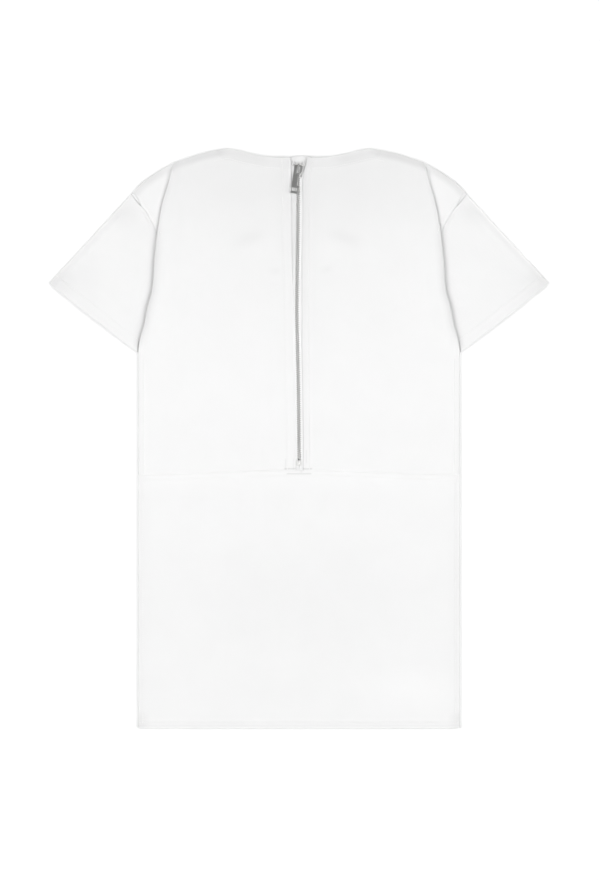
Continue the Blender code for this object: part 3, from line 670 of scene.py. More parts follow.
SEAM_ROWS = np.linspace(SIDE_TOP, ARMHOLE_END_Y, 48)
SLEEVE_ROWS = spaced((ARMHOLE_END_Y - 2.8, 2.8), (160.0, 1.4), (129.0, 1.0))
SLEEVE_UPPER = spaced((0.0, 0.012), (0.06, 0.022), (0.94, 0.012), (1.0, 1.0))
SLEEVE_LOWER = spaced((0.0, 0.04), (1.0, 1.0))


def sleeve_inner(lower):
    """Plan points of the armhole side of a sleeve's upper or lower layer."""
    seam = armhole_seam(SEAM_ROWS)
    under = path_of(UNDERARM)
    count = len(SLEEVE_ROWS)
    whole = np.concatenate([seam, under])
    if not lower:
        start = lengths(whole)[len(seam) - 1] / lengths(whole)[-1]
        rest = along(whole, np.linspace(start, 1.0, count + 1)[1:])
        return shifted(np.concatenate([seam, rest]), GAP)
    visible = seam[seam[:, 1] > FRONT_ARMHOLE["up"][0]]
    rest = len(seam) + count - len(visible)
    return np.concatenate([visible, along(path_of(FRONT_ARMHOLE), np.linspace(0, 1, rest))])


def sleeve_relief(across, up, from_cuff, from_seam):
    """Cuff, seam edge, creases and unevenness of a sleeve's upper layer."""
    soft = creases(SLEEVE_DRAGS, across, up) + undulation(across, up, 5)
    soft = soft * ease(from_cuff / 26) * ease(from_seam / 20)
    from_valley = ease((beside_crease(across, up) - 1.0) / VALLEY_WIDTH)
    soft += VALLEY_DEPTH * crease_at(up) * from_valley * ease(from_seam / 9)
    firm = turned(from_cuff, CUFF_DEPTH, CUFF_RISE) + groove(from_cuff - CUFF_STITCH, CUFF_GROOVE)
    return soft + firm + ARMHOLE_ROLL * seam_roll(from_seam) + groove(from_seam - 2.6, 0.12, 1.0)


def sleeve(side, material):
    """A flat tube, from its outside inward: upper layer, outer fold and lower layer."""
    upper = sleeve_inner(lower=False)
    lower = shifted(sleeve_inner(lower=True), GAP)
    places = lengths(upper)
    armhole_length = places[len(SEAM_ROWS) - 1]
    run = np.subtract(SLEEVE_TIP, SHOULDER_TIP)
    away = np.array([-run[1], run[0]]) / hypot(*run)
    cuff = np.array([upper[-1], SLEEVE_TIP])
    rows = []
    for number, (inner, under) in enumerate(zip(upper, lower)):
        share = mix(SLEEVE_START, 1.0, places[number] / places[-1])
        fold = SHOULDER_TIP + run * share - FOLD_REACH * away
        size = hypot(*(fold - inner))
        place = SLEEVE_UPPER
        flat = mix(inner[None], fold[None], place[:, None])
        puff = SLEEVE_PUFF * np.sin(pi * ease(place)) ** 2 * ease((size - 25) / 70)
        hidden = ease((places[number] - armhole_length + 24) / 20)
        puff = puff * mix(1.0, ease((place * size - 22) / 20), hidden)
        open_cloth = ease((size - 20) / 40) * ease((1 - place) * size / 12)
        relief = sleeve_relief(*flat.T, nearest(flat, cuff), place * size)
        height = 2 * FOLD_REACH + puff + np.minimum(relief, 3.0) * open_cloth
        line = [(*point, z) for point, z in zip(flat, height)]
        for step in range(1, ARC_STEPS):
            angle = pi * step / ARC_STEPS
            point = fold + away * FOLD_REACH * sin(angle)
            line.append((*point, FOLD_REACH * (1 + cos(angle))))
        line += [(*mix(fold, under, place), 0.0) for place in SLEEVE_LOWER]
        rows.append(line)
    rows = np.array(rows) * (side, 1, 1)
    return add_sheet(f"cloth_sleeve_{SIDES[side]}", rows, material, offset=1.0, flip=side < 0)


# ---------------------------------------------------------------- skirt


SKIRT_BAND = 9.0
SKIRT_BAND_RISE = 0.35
HEM_BELOW = WAIST_SIDE_Y - HEM_Y
SKIRT_ROWS = spaced((0.0, 0.45), (2.6, 0.9), (12.0, 3.4), (HEM_BELOW - 20, 1.2),
                    (HEM_BELOW - 3, 0.5), (HEM_BELOW - 0.4, 1.0))
SKIRT_ACROSS = spaced((0.0, 3.4), (222.0, 1.2))


def skirt_height(across, below, row):
    """Middle of the back skirt's cloth, a distance below the waist seam."""
    over_zip = 1 - ease((abs(across) - PLACKET_FLAT) / PLACKET_FALL)
    height = mix(LOFT, TOP_Z, over_zip * (1 - ease((below - 12) / 60)))
    return mix(height, row["lip"], side_share(row["edge"] - abs(across), row))


def skirt_relief(across, up, below, row):
    """Waist band, hem, side stitches, creases and unevenness of the back skirt."""
    from_side = row["edge"] + 1.0 - abs(across)
    above_hem = up - HEM_Y
    soft = creases(SKIRT_DRAGS, across, up) + undulation(across, up, 8)
    soft = soft * ease(from_side / 30) * ease((below - 8) / 24) * ease((above_hem - 12) / 26)
    firm = turned(below, SKIRT_BAND, SKIRT_BAND_RISE) + groove(below - SKIRT_STITCH)
    firm += turned(above_hem, HEM_DEPTH, HEM_RISE) + groove(above_hem - HEM_STITCH)
    firm += groove(from_side - SIDE_STITCH, *SIDE_GROOVE)
    firm += seam_roll(below) + 0.6 * seam_roll(above_hem)
    return soft + firm


def skirt_back(material):
    """Straight panel over the front skirt, its side edges rolled down."""
    edge = side_row(WAIST_SIDE_Y)
    inner = SKIRT_ACROSS[SKIRT_ACROSS < edge["edge"]]
    half = np.append(inner, edge["edge"])
    across = np.concatenate([-half[:0:-1], half])
    rows = []
    for below in SKIRT_ROWS:
        top = waist(across) - SEAM_CRACK
        share = ease((below - 12) / (HEM_BELOW - 40))
        up = mix(top - below, HEM_Y + HEM_BELOW - below, share)
        height = skirt_height(across, below, edge) + skirt_relief(across, up, below, edge)
        line = points_at(across, up, height).tolist()
        offsets = fold_down(edge["turn"], edge["tuck"])
        right = folded_points(edge, line[-1], offsets)
        left = folded_points(edge, (-line[0][0], *line[0][1:]), offsets)
        rows.append([(-x, y, z) for x, y, z in left[::-1]] + line + right)
    return add_sheet("cloth_skirt_back", rows, material, flip=True)


# ---------------------------------------------------------------- front, flat on the surface


FRONT_PLACES = spaced((0.0, 0.02), (0.04, 0.03), (0.94, 0.012), (1.0, 1.0))
FRONT_NECK_Y = SHOULDER_START[1] - FRONT_NECK_DEPTH
FRONT_SIDE_TOP = 120.0          # the front's side stitches start below the sleeve
PRESSED_STITCH = 0.25           # a row of stitches on the front, pressed up into the cloth
PRESSED_BAND = 0.3


def front_outline_at(up):
    """Inner and outer edge of the front at a height: the neck's scoop, and armhole or side."""
    drop = np.clip((SHOULDER_START[1] - up) / FRONT_NECK_DEPTH, 0.0, 1.0)
    side = [[HALF_WIDTH, 60.0], [HALF_WIDTH, WAIST_SIDE_Y]]
    edge = np.concatenate([path_of(SHOULDER)[:-1], sleeve_inner(lower=True), side])
    edge = edge[np.argsort(edge[:, 1], kind="stable")]
    return SHOULDER_START[0] * np.sqrt(1 - drop**2), np.interp(up, edge[:, 1], edge[:, 0])


def front_scoop(reach=0.0):
    """Right half of the front's neck edge, or of a line outside it."""
    angle = np.linspace(0, pi / 2, 25)
    return plan((SHOULDER_START[0] + reach) * np.sin(angle),
                SHOULDER_START[1] - (FRONT_NECK_DEPTH + reach) * np.cos(angle))


def pressed_seam(distance):
    """The front's panels rise a little into the waist seam."""
    return PRESSED_STITCH * (1 - ease(distance / 1.6))


def side_groove(across):
    return groove(HALF_WIDTH - abs(across) - SIDE_STITCH, PRESSED_STITCH)


def front_bodice_z(across, up):
    """The front bodice's cloth, its neck and side stitches pressed up into it."""
    lift = pressed_seam(up - waist(across)) - side_groove(across) * (up < FRONT_SIDE_TOP)
    band = nearest(plan(abs(across), up), front_scoop()) - NECK_STITCH
    return FRONT_Z + lift - groove(band, PRESSED_BAND)


def front_skirt_z(across, up):
    """The front skirt's cloth, its waist, hem and side stitches pressed up into it."""
    below = waist(across) - up
    lift = pressed_seam(below) - groove(below - SKIRT_STITCH, PRESSED_STITCH) - side_groove(across)
    return FRONT_Z + lift - groove(up - HEM_Y - HEM_STITCH, PRESSED_BAND)


def front_bodice(material):
    """The front above the waist, with a scooped neck: two halves, welded at the middle."""
    rows = []
    for up in spaced((SHOULDER_START[1] - 0.3, 3.0), (SHOULDER_TIP[1], 3.4),
                     (FRONT_NECK_Y + 12, 1.0), (FRONT_NECK_Y, 3.6), (150.0, 2.6), (122.0, 3.6),
                     (-30.0, 1.6), (WAIST_SIDE_Y, 1.0)):
        across = mix(*front_outline_at(up), FRONT_PLACES)
        sag = ease((40 - up) / 90) * (waist(across) - WAIST_SIDE_Y)
        rows.append(points_at(across, up + sag))
    half = np.array(rows)
    faces = grid_faces(numbered(half))
    half = half.reshape(-1, 3)
    faces = np.concatenate([faces, faces[:, ::-1] + len(half)])
    points = np.concatenate([half * (-1, 1, 1), half])
    points[:, 2] = front_bodice_z(points[:, 0], points[:, 1])
    thing = new_mesh("cloth_front_bodice", points, faces.tolist(), material)
    form = bmesh.new()
    form.from_mesh(thing.data)
    bmesh.ops.remove_doubles(form, verts=form.verts, dist=0.02 * MM)
    form.to_mesh(thing.data)
    form.free()
    return finish_cloth(thing)


def skirt_front(material):
    """Straight panel under the back skirt."""
    across = spaced((-HALF_WIDTH, 1.6), (20 - HALF_WIDTH, 4.0), (HALF_WIDTH - 20, 1.6),
                    (HALF_WIDTH, 1.0))
    rows = []
    for below in spaced((0.0, 0.8), (12.0, 4.0), (HEM_BELOW - 18, 1.4), (HEM_BELOW, 1.0)):
        up = mix(waist(across) - GAP, HEM_Y, below / HEM_BELOW)
        rows.append(points_at(across, up, front_skirt_z(across, up)))
    return add_sheet("cloth_skirt_front", rows, material)


# ---------------------------------------------------------------- zip


TAPE_OUTER = 17.5
TAPE_TOP_Y = 415.0
TAPE_END_Y = -52.5
TAPE_WALL = 0.75
CHAIN_TOP_Y = 393.8
CHAIN_END_Y = -32.7
CHAIN_BASE = TUCKED_Z - WALL / 2
TOOTH_PITCH = 3.2
TOOTH_WIDTH = 1.5
TOOTH_HALF = 4.1
TOOTH_HEIGHT = 2.3
TOOTH_SHIFT = 0.35              # the closed teeth meet a little to the right of the line
CORD_INSIDE = 2.0               # the tape's corded edge runs under the teeth
CORD_RISE = 0.55
RIB_PITCH = 1.9
RIB_RISE = 0.08


def zip_line(up, column="middle"):
    return read(ZIP_LINE, up, column)


def zip_tape(side, material):
    """Woven tape under a folded edge, with the cord that its teeth are clamped to."""
    rows = []
    for up in spaced((TAPE_TOP_Y, 3.0), (394.0, 2.0), (389.0, 4.0), (-39.0, 0.5), (-42.0, 3.0),
                     (TAPE_END_Y, 1.0)):
        under = CORD_INSIDE if -41.3 < up < CHAIN_TOP_Y - 3 else 0.0
        inner = float(zip_line(up) + side * (zip_line(up, "free") - under))
        across = np.linspace(inner, side * TAPE_OUTER, 26)
        distance = abs(across - inner)
        ribs = RIB_RISE * np.cos(2 * pi * distance / RIB_PITCH) * ease((distance - 4.0) / 2)
        cord = CORD_RISE * ease(distance / 0.8) * (1 - ease((distance - under - 0.9) / 1.6))
        rows.append(points_at(across, up, TUCKED_Z + ribs - 0.12 + cord))
    return add_sheet(f"tape_{SIDES[side]}", rows, material, wall=TAPE_WALL)


# Outline of half a tooth from above, from its clamp on the cord to its head over the middle
TOOTH_PLAN = table(
    "out half rise",
    (3.7, 0.6, -1.05), (3.3, 0.78, -0.7), (2.6, 0.84, -0.36), (1.9, 0.84, -0.14),
    (1.3, 0.8, -0.18), (0.9, 0.7, -0.46), (0.5, 0.62, -0.84), (0, 0.62, -1.04),
    (-0.85, 0.45, -1.15),
)
TOOTH_ROUND = ((0.42, 0.0), (0.14, 0.13), (0.0, 0.42))
TOOTH_LIFT = 0.1                # over the cloth below
HEAD_LIFT = 0.35                # and this much more under its head


def tooth(side, middle, up):
    """Points and faces of one tooth: rings along it, each with a rounded top."""
    depth = mix(1.0, 0.45, ease((up - 366.0) / 6))     # less deep where the pull lies over them
    points = []
    for out, half, rise in zip(*TOOTH_PLAN.values()):
        top = CHAIN_BASE + TOOTH_HEIGHT + (rise * depth if out < 2 else rise)
        low = CHAIN_BASE + TOOTH_LIFT + (HEAD_LIFT if out < 0.5 else 0.0)
        half_ring = [(half - inward, top - down) for inward, down in TOOTH_ROUND]
        half_ring += [(half, low + 0.2), (half - 0.2, low)]
        ring = half_ring + [(-y, z) for y, z in half_ring[::-1]]
        points += [(middle + side * out, up + y, z) for y, z in ring]
    faces = tube_faces(len(TOOTH_PLAN["out"]), len(ring))
    return points, [face[::-side] for face in faces]


def join_shapes(name, shapes, material, sharp=38):
    """One mesh object from many (points, faces) shapes."""
    points, faces = [], []
    for shape_points, shape_faces in shapes:
        faces += [tuple(len(points) + corner for corner in face) for face in shape_faces]
        points += shape_points
    return new_mesh(name, points, faces, material, sharp)


def zip_teeth(material):
    """The closed chain: teeth from both tapes in turn."""
    shapes = []
    count = int((CHAIN_TOP_Y - CHAIN_END_Y - TOOTH_WIDTH) / TOOTH_PITCH * 2) + 1
    for number in range(count):
        up = CHAIN_TOP_Y - TOOTH_WIDTH / 2 - number * TOOTH_PITCH / 2
        shapes.append(tooth(1 if number % 2 else -1, float(zip_line(up)) + TOOTH_SHIFT, up))
    return join_shapes("zip_teeth", shapes, material)


SLIDER_MID = (-1.0, 403.6)
SLIDER_TURN = radians(-4.0)
SLIDER_TOP_Z = CHAIN_BASE + 3.9
CROWN_WALL = 0.4
SOLE_THICKNESS = 1.1
WEDGE_THICKNESS = 2.6
FLANGE_THICKNESS = 1.5
CROWN_RISE = 2.0
BRIDGE_WIDTH = 2.3
BRIDGE_BAR = 1.1
BRIDGE_HALF = 7.7
BRIDGE_HEIGHT = 3.6
BRIDGE_FOOT = 0.4               # the bridge's legs stand this deep in the crown
PULL_THICKNESS = 1.4
PULL_TURN = radians(-8.5)
PULL_WINDOW = (-2.3, 5.3, -38.8, -33.6)
FRAME_THICKNESS = PULL_THICKNESS + 0.3
STOP_LENGTH = 8.0
STOP_HEIGHT = 2.7
TOP_STOPS = ((-9.3, 409.6), (7.8, 409.6))

# Plans, about the slider's middle or the pull's axis, to the right of the middle or all round
CROWN_RIGHT = [(4.3, -9), (4.5, -2.5), (6.1, 3), (6.1, 6.8), (3.5, 9)]
SOLE_RIGHT = [(3.9, -8.7), (4.1, -2.5), (5.1, 3), (5.1, 6.5), (2.5, 8.7)]
WEDGE_PLAN = [(0, -1), (2.6, 5), (1.6, 8), (-1.6, 8), (-2.6, 5)]
FLANGE_PLAN = [(4.45, -8.2), (5.3, -8.2), (5.3, -2.5), (6.3, 2.6), (5.5, 2.8), (4.45, -2)]
PULL_RIM = [(8.8, 0.7), (8.8, -7.5), (4.05, -17), (4.05, -29.6), (7.4, -31.2), (7.4, -42.3),
            (-4.05, -42.3), (-4.05, 0.7)]
PULL_EYE = [(0, -0.7), (6, -0.7), (6, -7.4), (4.8, -13.8), (0, -13.8)]
PULL_FRAME = [(7.4, -31.6), (7.4, -42.3), (-4.05, -42.3), (-4.05, -31.2)]


def quarter(middle, radius, start, steps):
    """A quarter of a circle, from a start angle on."""
    angles = [start + pi / 2 * step / steps for step in range(steps + 1)]
    return [(middle[0] + radius * cos(angle), middle[1] + radius * sin(angle)) for angle in angles]


def rounded_box(left, right, bottom, top, radius):
    """Outline of a rectangle with round corners."""
    inner = (left + radius, right - radius, bottom + radius, top - radius)
    corners = ((1, 3), (0, 3), (0, 2), (1, 2))
    return [point for number, (i, j) in enumerate(corners)
            for point in quarter((inner[i], inner[j]), radius, number * pi / 2, 5)]


def rounded_outline(points, radius, steps=4):
    """A closed outline with each corner replaced by an arc-like bend."""
    points = np.asarray(points, float)
    result = []
    for before, corner, after in zip(np.roll(points, 1, 0), points, np.roll(points, -1, 0)):
        back, ahead = before - corner, after - corner
        reach = min(radius, hypot(*back) * 0.45, hypot(*ahead) * 0.45)
        start = corner + back / hypot(*back) * reach
        end = corner + ahead / hypot(*ahead) * reach
        for t in np.arange(steps + 1) / steps:
            result.append(tuple((1 - t) ** 2 * start + 2 * t * (1 - t) * corner + t * t * end))
    return result


def add_plate(name, outlines, thickness, bevel, material, middle_z=0.0):
    """A plate with bevelled edges from closed outlines: the first is the rim, the rest holes."""
    curve = bpy.data.curves.new(name, "CURVE")
    curve.dimensions = "2D"
    curve.fill_mode = "BOTH"
    curve.extrude = (thickness / 2 - bevel) * MM
    curve.bevel_depth = bevel * MM
    curve.bevel_resolution = 2
    curve.offset = -bevel * MM
    for outline in outlines:
        spline = curve.splines.new("POLY")
        spline.points.add(len(outline) - 1)
        for point, (across, up) in zip(spline.points, outline):
            point.co = (across * MM, up * MM, 0.0, 1.0)
        spline.use_cyclic_u = True
    shape = link(name + "_curve", curve)
    bpy.context.view_layer.update()
    solid = shape.evaluated_get(bpy.context.evaluated_depsgraph_get())
    thing = dressed(name, bpy.data.meshes.new_from_object(solid), material, sharp=40)
    bpy.data.objects.remove(shape)
    thing.location.z = middle_z * MM
    return thing


def merge(name, things):
    """One object from several, in world coordinates."""
    bpy.context.view_layer.update()
    for thing in things:
        thing.data.transform(thing.matrix_world)
        thing.matrix_world = Matrix.Identity(4)
    keep = things[0]
    with bpy.context.temp_override(active_object=keep, selected_editable_objects=things,
                                   selected_objects=things, object=keep):
        bpy.ops.object.join()
    keep.name = keep.data.name = name
    return keep


def moved(thing, place, turn=0.0):
    """A piece whose mesh is turned about Z and then moved, in metres."""
    thing.data.transform(Matrix.Rotation(turn, 4, "Z"))
    thing.data.transform(Matrix.Translation(place))
    return thing


def crown_plan(right):
    """Outline of the slider's crown or sole from its right half."""
    return rounded_outline(right + [(-across, up) for across, up in right[::-1]], 1.6)


def add_dome(name, outline, wall, rise, material, base_z):
    """A closed plate over an outline, with an upright wall and a top that rises to its middle."""
    outline = np.asarray(outline)
    rings = [points_at(*outline.T)]
    for share in (1.0, 0.96, 0.88, 0.76, 0.6, 0.4, 0.2, 0.02):
        rings.append(points_at(*(outline * share).T, wall + rise * (1 - share**2)))
    faces = tube_faces(len(rings), len(outline))
    thing = new_mesh(name, np.concatenate(rings), faces, material, sharp=38)
    thing.location.z = base_z * MM
    return thing


def arch_outline(half, height, radius, bar):
    """Side view of the bridge: an arch with round shoulders and its inner edge."""
    def edge(reach, top, round_by):
        up = top - round_by
        return [(reach, -BRIDGE_FOOT), *quarter((reach - round_by, up), round_by, 0.0, 6),
                *quarter((round_by - reach, up), round_by, pi / 2, 6), (-reach, -BRIDGE_FOOT)]
    return edge(half, height, radius + bar) + edge(half - bar, height - bar, radius)[::-1]


def zip_slider(material, dark):
    """Crown and sole with a wedge between them, side flanges, and the bridge over the top."""
    crown = add_dome("crown", crown_plan(CROWN_RIGHT), CROWN_WALL, CROWN_RISE, material,
                     SLIDER_TOP_Z - CROWN_WALL - CROWN_RISE)
    sole = add_plate("sole", [crown_plan(SOLE_RIGHT)], SOLE_THICKNESS, 0.3, material,
                     CHAIN_BASE + SOLE_THICKNESS / 2)
    wedge = add_plate("wedge", [rounded_outline(WEDGE_PLAN, 1.0)], WEDGE_THICKNESS, 0.1, material,
                      CHAIN_BASE + 2.0)
    arch = arch_outline(BRIDGE_HALF, BRIDGE_HEIGHT, 1.3, BRIDGE_BAR)
    bridge = add_plate("bridge", [arch], BRIDGE_WIDTH, 0.35, dark, SLIDER_TOP_Z)
    bridge.rotation_euler = (pi / 2, 0.0, pi / 2)
    flanges = []
    for side in SIDES:
        outline = rounded_outline([(side * across, up) for across, up in FLANGE_PLAN], 0.5)
        flanges.append(add_plate("flange", [outline], FLANGE_THICKNESS, 0.15, material,
                                 SLIDER_TOP_Z - 2.6))
    slider = merge("zip_slider_body", [crown, sole, wedge, bridge, *flanges])
    return moved(slider, Vector((*SLIDER_MID, 0.0)) * MM, SLIDER_TURN)


def zip_pull(axis, material):
    """Pull tab: a head with an eye round the bridge, a plain plate and a windowed end."""
    window = rounded_box(*PULL_WINDOW, 0.8)
    outlines = [rounded_outline(PULL_RIM, 1.6), rounded_outline(PULL_EYE, 0.9), window]
    plate = add_plate("plate", outlines, PULL_THICKNESS, 0.3, material)
    frame = add_plate("frame", [rounded_outline(PULL_FRAME, 1.4), window],
                      FRAME_THICKNESS, 0.42, material)
    return moved(merge("zip_pull_tab", [plate, frame]), axis, PULL_TURN)


def box_stop(material, bright):
    """The box crimped over the end of the chain, with a round dimple."""
    up = CHAIN_END_Y - GAP - STOP_LENGTH / 2
    outline = rounded_box(-TOOTH_HALF, TOOTH_HALF, -STOP_LENGTH / 2, STOP_LENGTH / 2, 1.8)
    body = add_plate("body", [outline], STOP_HEIGHT, 0.3, material)
    dome = add_plate("dome", [rounded_box(-0.95, 0.95, -2.6, 2.6, 0.9)], 1.7, 0.8, bright, 1.15)
    place = Vector((float(zip_line(up)), up, CHAIN_BASE + STOP_HEIGHT / 2)) * MM
    return moved(merge("zip_box_stop", [body, dome]), place)


def top_stops(material):
    """Two small crimped stops on the tapes beside the slider."""
    stops = []
    for place in TOP_STOPS:
        stop = add_plate("stop", [rounded_box(-1.1, 1.1, -1.7, 1.7, 1.0)], 1.6, 0.75, material)
        stops.append(moved(stop, Vector((*place, TUCKED_Z + WALL / 2 + GAP + 0.8)) * MM))
    return merge("zip_top_stops", stops)


# Top edge of the underlap, hidden on its left and then seen above the neck edge
GUARD_TOP = table(
    "across up",
    (-19, 418.5), (-13, 421.2), (-6, 423.2), (4, 423.8), (14, 423.6), (19, 422.4), (21, 420),
)
GUARD_LIFT = 0.25
GUARD_DEPTH = 40.0


def zip_guard(material):
    """Small underlap behind the top of the zip, seen just above the neck edge."""
    across = np.linspace(GUARD_TOP["across"][0], GUARD_TOP["across"][-1], 34)
    top = read(GUARD_TOP, across, "up")
    lift = GUARD_LIFT * np.sin(pi * np.linspace(0.0, 1.0, len(across)))
    rows = []
    for below in spaced((0.0, 0.5), (3.0, 1.0), (12.0, 2.5), (GUARD_DEPTH, 1.0)):
        rim = 0.3 * (1 - ease(below / 1.6))
        rows.append(points_at(across, top - below, UNDER_Z + lift - rim))
    return add_sheet("cloth_zip_guard", rows, material, flip=True)


# ---------------------------------------------------------------- stitches


THREAD_RADIUS = 0.42
STITCH_LENGTH = 2.7
STITCH_PITCH = 3.4
STITCH_SIDES = 6
# Sections of a stitch: share of its length, its radius and its height above the cloth
STITCH_SECTIONS = table(
    "place radius height",
    (0, 0.55, -0.75), (0.16, 0.95, 0.05), (0.5, 1.05, 0.42), (0.84, 0.95, 0.05), (1, 0.55, -0.75),
)


def stitch(start, end, normal):
    """A short plump thread between two points on the cloth."""
    start, end = Vector(start), Vector(end)
    run = (end - start).normalized()
    across = run.cross(normal).normalized()
    above = across.cross(run).normalized()
    points = []
    for place, radius, height in zip(*STITCH_SECTIONS.values()):
        centre = start.lerp(end, place) + above * height * THREAD_RADIUS
        for corner in range(STITCH_SIDES):
            angle = 2 * pi * corner / STITCH_SIDES
            offset = across * cos(angle) + above * sin(angle)
            points.append(tuple(centre + offset * radius * THREAD_RADIUS))
    faces = tube_faces(len(STITCH_SECTIONS["place"]), STITCH_SIDES)
    return points, [face[:1] + face[:0:-1] for face in faces]


def surface_at(tree, across, up, below):
    """Point on a surface and its normal at a plan point, from above or from below."""
    start, down = Vector((across * MM, up * MM, -0.05 if below else 0.05)), 1 if below else -1
    place, normal, _, _ = tree.ray_cast(start, Vector((0, 0, down)))
    return None if place is None else ((across, up, place.z / MM), normal)


def stitch_rows(name, cloth, lines, material, below=False):
    """One mesh of the stitches along plan lines, laid on the cloth from above or from below.

    Those on the front are pressed flat by the surface that the garment lies on.
    """
    bpy.context.view_layer.update()
    tree = BVHTree.FromObject(cloth, bpy.context.evaluated_depsgraph_get())
    shapes = []
    for line in lines:
        places = lengths(line)
        room = places[-1] - STITCH_LENGTH
        count = max(1, int(room / STITCH_PITCH) + 1)
        for begin in room * np.arange(count) / max(count - 1, 1):
            ends = [surface_at(tree, *(float(np.interp(at, places, axis)) for axis in line.T),
                               below) for at in (begin, begin + STITCH_LENGTH)]
            if all(ends):
                points, faces = stitch(ends[0][0], ends[1][0], ends[1][1])
                shapes.append(([(x, y, max(z, 0.0)) for x, y, z in points], faces))
    return join_shapes(name, shapes, material, sharp=180)


def mirrored(line):
    return line * (-1, 1)


def side_line(top, end):
    return np.array([[HALF_WIDTH - SIDE_STITCH, top], [HALF_WIDTH - SIDE_STITCH, end]])


def placket_line(side_name):
    """Stitches beside the zip, parallel to the folded edge."""
    ups = spaced((420.0, 10.0), (WAIST_MID_Y + 0.5, 1.0))
    out = PLACKET_STITCH[side_name] * (1 if side_name == "right" else -1)
    return plan(read(OPENING, ups, side_name) + out, ups)


def back_stitches(side, cloth, material):
    """Rows round the neck, along the placket, beside the armhole seam and down the side."""
    side_name = SIDES[side]
    neck = np.concatenate([path_of(NECKLINE), path_of(SHOULDER)[1:2]])
    band = along(shifted(neck, -NECK_STITCH), np.linspace(0.0, 1.0, 40))
    edge = abs(float(read(OPENING, 405.0, side_name)))
    band = band[band[:, 0] > edge + PLACKET_STITCH[side_name] + 1.0]
    seam = shifted(along(path_of(ARMHOLE), np.linspace(0.0, 0.62, 30)), -SEAM_STITCH)
    down = side_line(122.0, WAIST_SIDE_Y + 0.6)
    lines = [band * (side, 1), placket_line(side_name), seam * (side, 1), down * (side, 1)]
    return stitch_rows(f"stitches_back_{side_name}", cloth, lines, material)


def skirt_lines():
    """Rows of a skirt panel: under its waist, along its hem and down its sides."""
    across = np.linspace(-HALF_WIDTH + 2, HALF_WIDTH - 2, 80)
    hem = HEM_Y + HEM_STITCH
    side = side_line(WAIST_SIDE_Y - 1.0, hem)
    return [plan(across, waist(across) - GAP - SKIRT_STITCH),
            plan(across, np.full_like(across, hem)), side, mirrored(side)]


def front_lines():
    """Rows of the front bodice: round its neck and down its sides."""
    neck, side = front_scoop(NECK_STITCH)[:-2], side_line(FRONT_SIDE_TOP, WAIST_SIDE_Y + 1.0)
    return [neck, mirrored(neck), side, mirrored(side)]


def sleeve_stitches(side, cloth, material):
    """The row round a cuff."""
    inner, outer = path_of(UNDERARM)[-1], np.array(SLEEVE_TIP)
    run = (outer - inner) / hypot(*(outer - inner))
    ends = np.array([inner + run * 2, outer - run * 2]) + np.array([-run[1], run[0]]) * CUFF_STITCH
    line = along(ends, np.linspace(0.0, 1.0, 40)) * (side, 1)
    return stitch_rows(f"stitches_sleeve_{SIDES[side]}", cloth, [line], material)


# ---------------------------------------------------------------- materials


class Nodes:
    """A short way to write a material's node tree."""

    def __init__(self, name):
        self.material = bpy.data.materials.new(name)
        self.material.use_nodes = True
        self.tree = self.material.node_tree

    def feed(self, socket, value):
        """Links a value to a socket, or sets it there."""
        if isinstance(value, bpy.types.NodeSocket):
            self.tree.links.new(value, socket)
        else:
            socket.default_value = value

    def add(self, kind, values, **settings):
        node = self.tree.nodes.new(kind)
        for key, value in settings.items():
            setattr(node, key, value)
        for key, value in values.items():
            self.feed(node.inputs[key], value)
        return node

    def place(self, scale=(1.0, 1.0, 1.0), turn=0.0):
        """Coordinates on the object in millimetres, turned about Z and scaled."""
        where = self.add("ShaderNodeTexCoord", {}).outputs["Object"]
        values = {"Vector": where, "Rotation": (0.0, 0.0, radians(turn)),
                  "Scale": tuple(value / MM for value in scale)}
        return self.add("ShaderNodeMapping", values, vector_type="POINT").outputs["Vector"]

    def noise(self, vector, scale, detail=2.0, roughness=0.5):
        values = {"Vector": vector, "Scale": scale, "Detail": detail, "Roughness": roughness}
        return self.add("ShaderNodeTexNoise", values).outputs["Fac"]

    def waves(self, turn, scale, distortion, direction="X", **more):
        """Even bands in a direction of the turned object."""
        values = {"Vector": self.place(turn=turn), "Scale": scale, "Distortion": distortion}
        values |= {key.replace("_", " "): value for key, value in more.items()}
        return self.add("ShaderNodeTexWave", values, bands_direction=direction).outputs["Fac"]

    def total(self, *parts):
        """Sum of (value, share) parts."""
        result = None
        for value, share in parts:
            part = self.add("ShaderNodeMath", {0: value, 1: share}, operation="MULTIPLY")
            if result is not None:
                part = self.add("ShaderNodeMath", {0: result, 1: part.outputs[0]})
            result = part.outputs[0]
        return result

    def ramp(self, value, low, high, start, end):
        """A value's range low..high turned into start..end."""
        values = {"Value": value, "From Min": low, "From Max": high, "To Min": start,
                  "To Max": end}
        return self.add("ShaderNodeMapRange", values).outputs["Result"]

    def colour(self, value, dark, light):
        values = {0: value, 6: (*dark, 1.0), 7: (*light, 1.0)}
        return self.add("ShaderNodeMix", values, data_type="RGBA").outputs[2]

    def bump(self, height, distance, strength):
        values = {"Height": height, "Distance": distance * MM, "Strength": strength}
        return self.add("ShaderNodeBump", values).outputs["Normal"]

    def with_painted_shading(self, colour):
        """The colour times the painted light and shade stored on the mesh by shade."""
        tone = self.add("ShaderNodeAttribute", {}, attribute_name="tone").outputs["Fac"]
        return self.add("ShaderNodeMix", {0: 1.0, 6: colour, 7: tone}, data_type="RGBA",
                        blend_type="MULTIPLY").outputs[2]

    def finish(self, **inputs):
        for key, value in inputs.items():
            self.feed(self.tree.nodes["Principled BSDF"].inputs[key.replace("_", " ")], value)
        return self.material


TWILL_PITCH = 0.95
TWILL_ANGLE = 27.0
YARN_PITCH = 0.55
THREAD_ANGLE = 35.0
SCRATCH_ANGLE = 20.0


def bands(pitch):
    """Scale of waves of a pitch."""
    return 0.5 / pi / pitch


def grey(level):
    return (level,) * 3


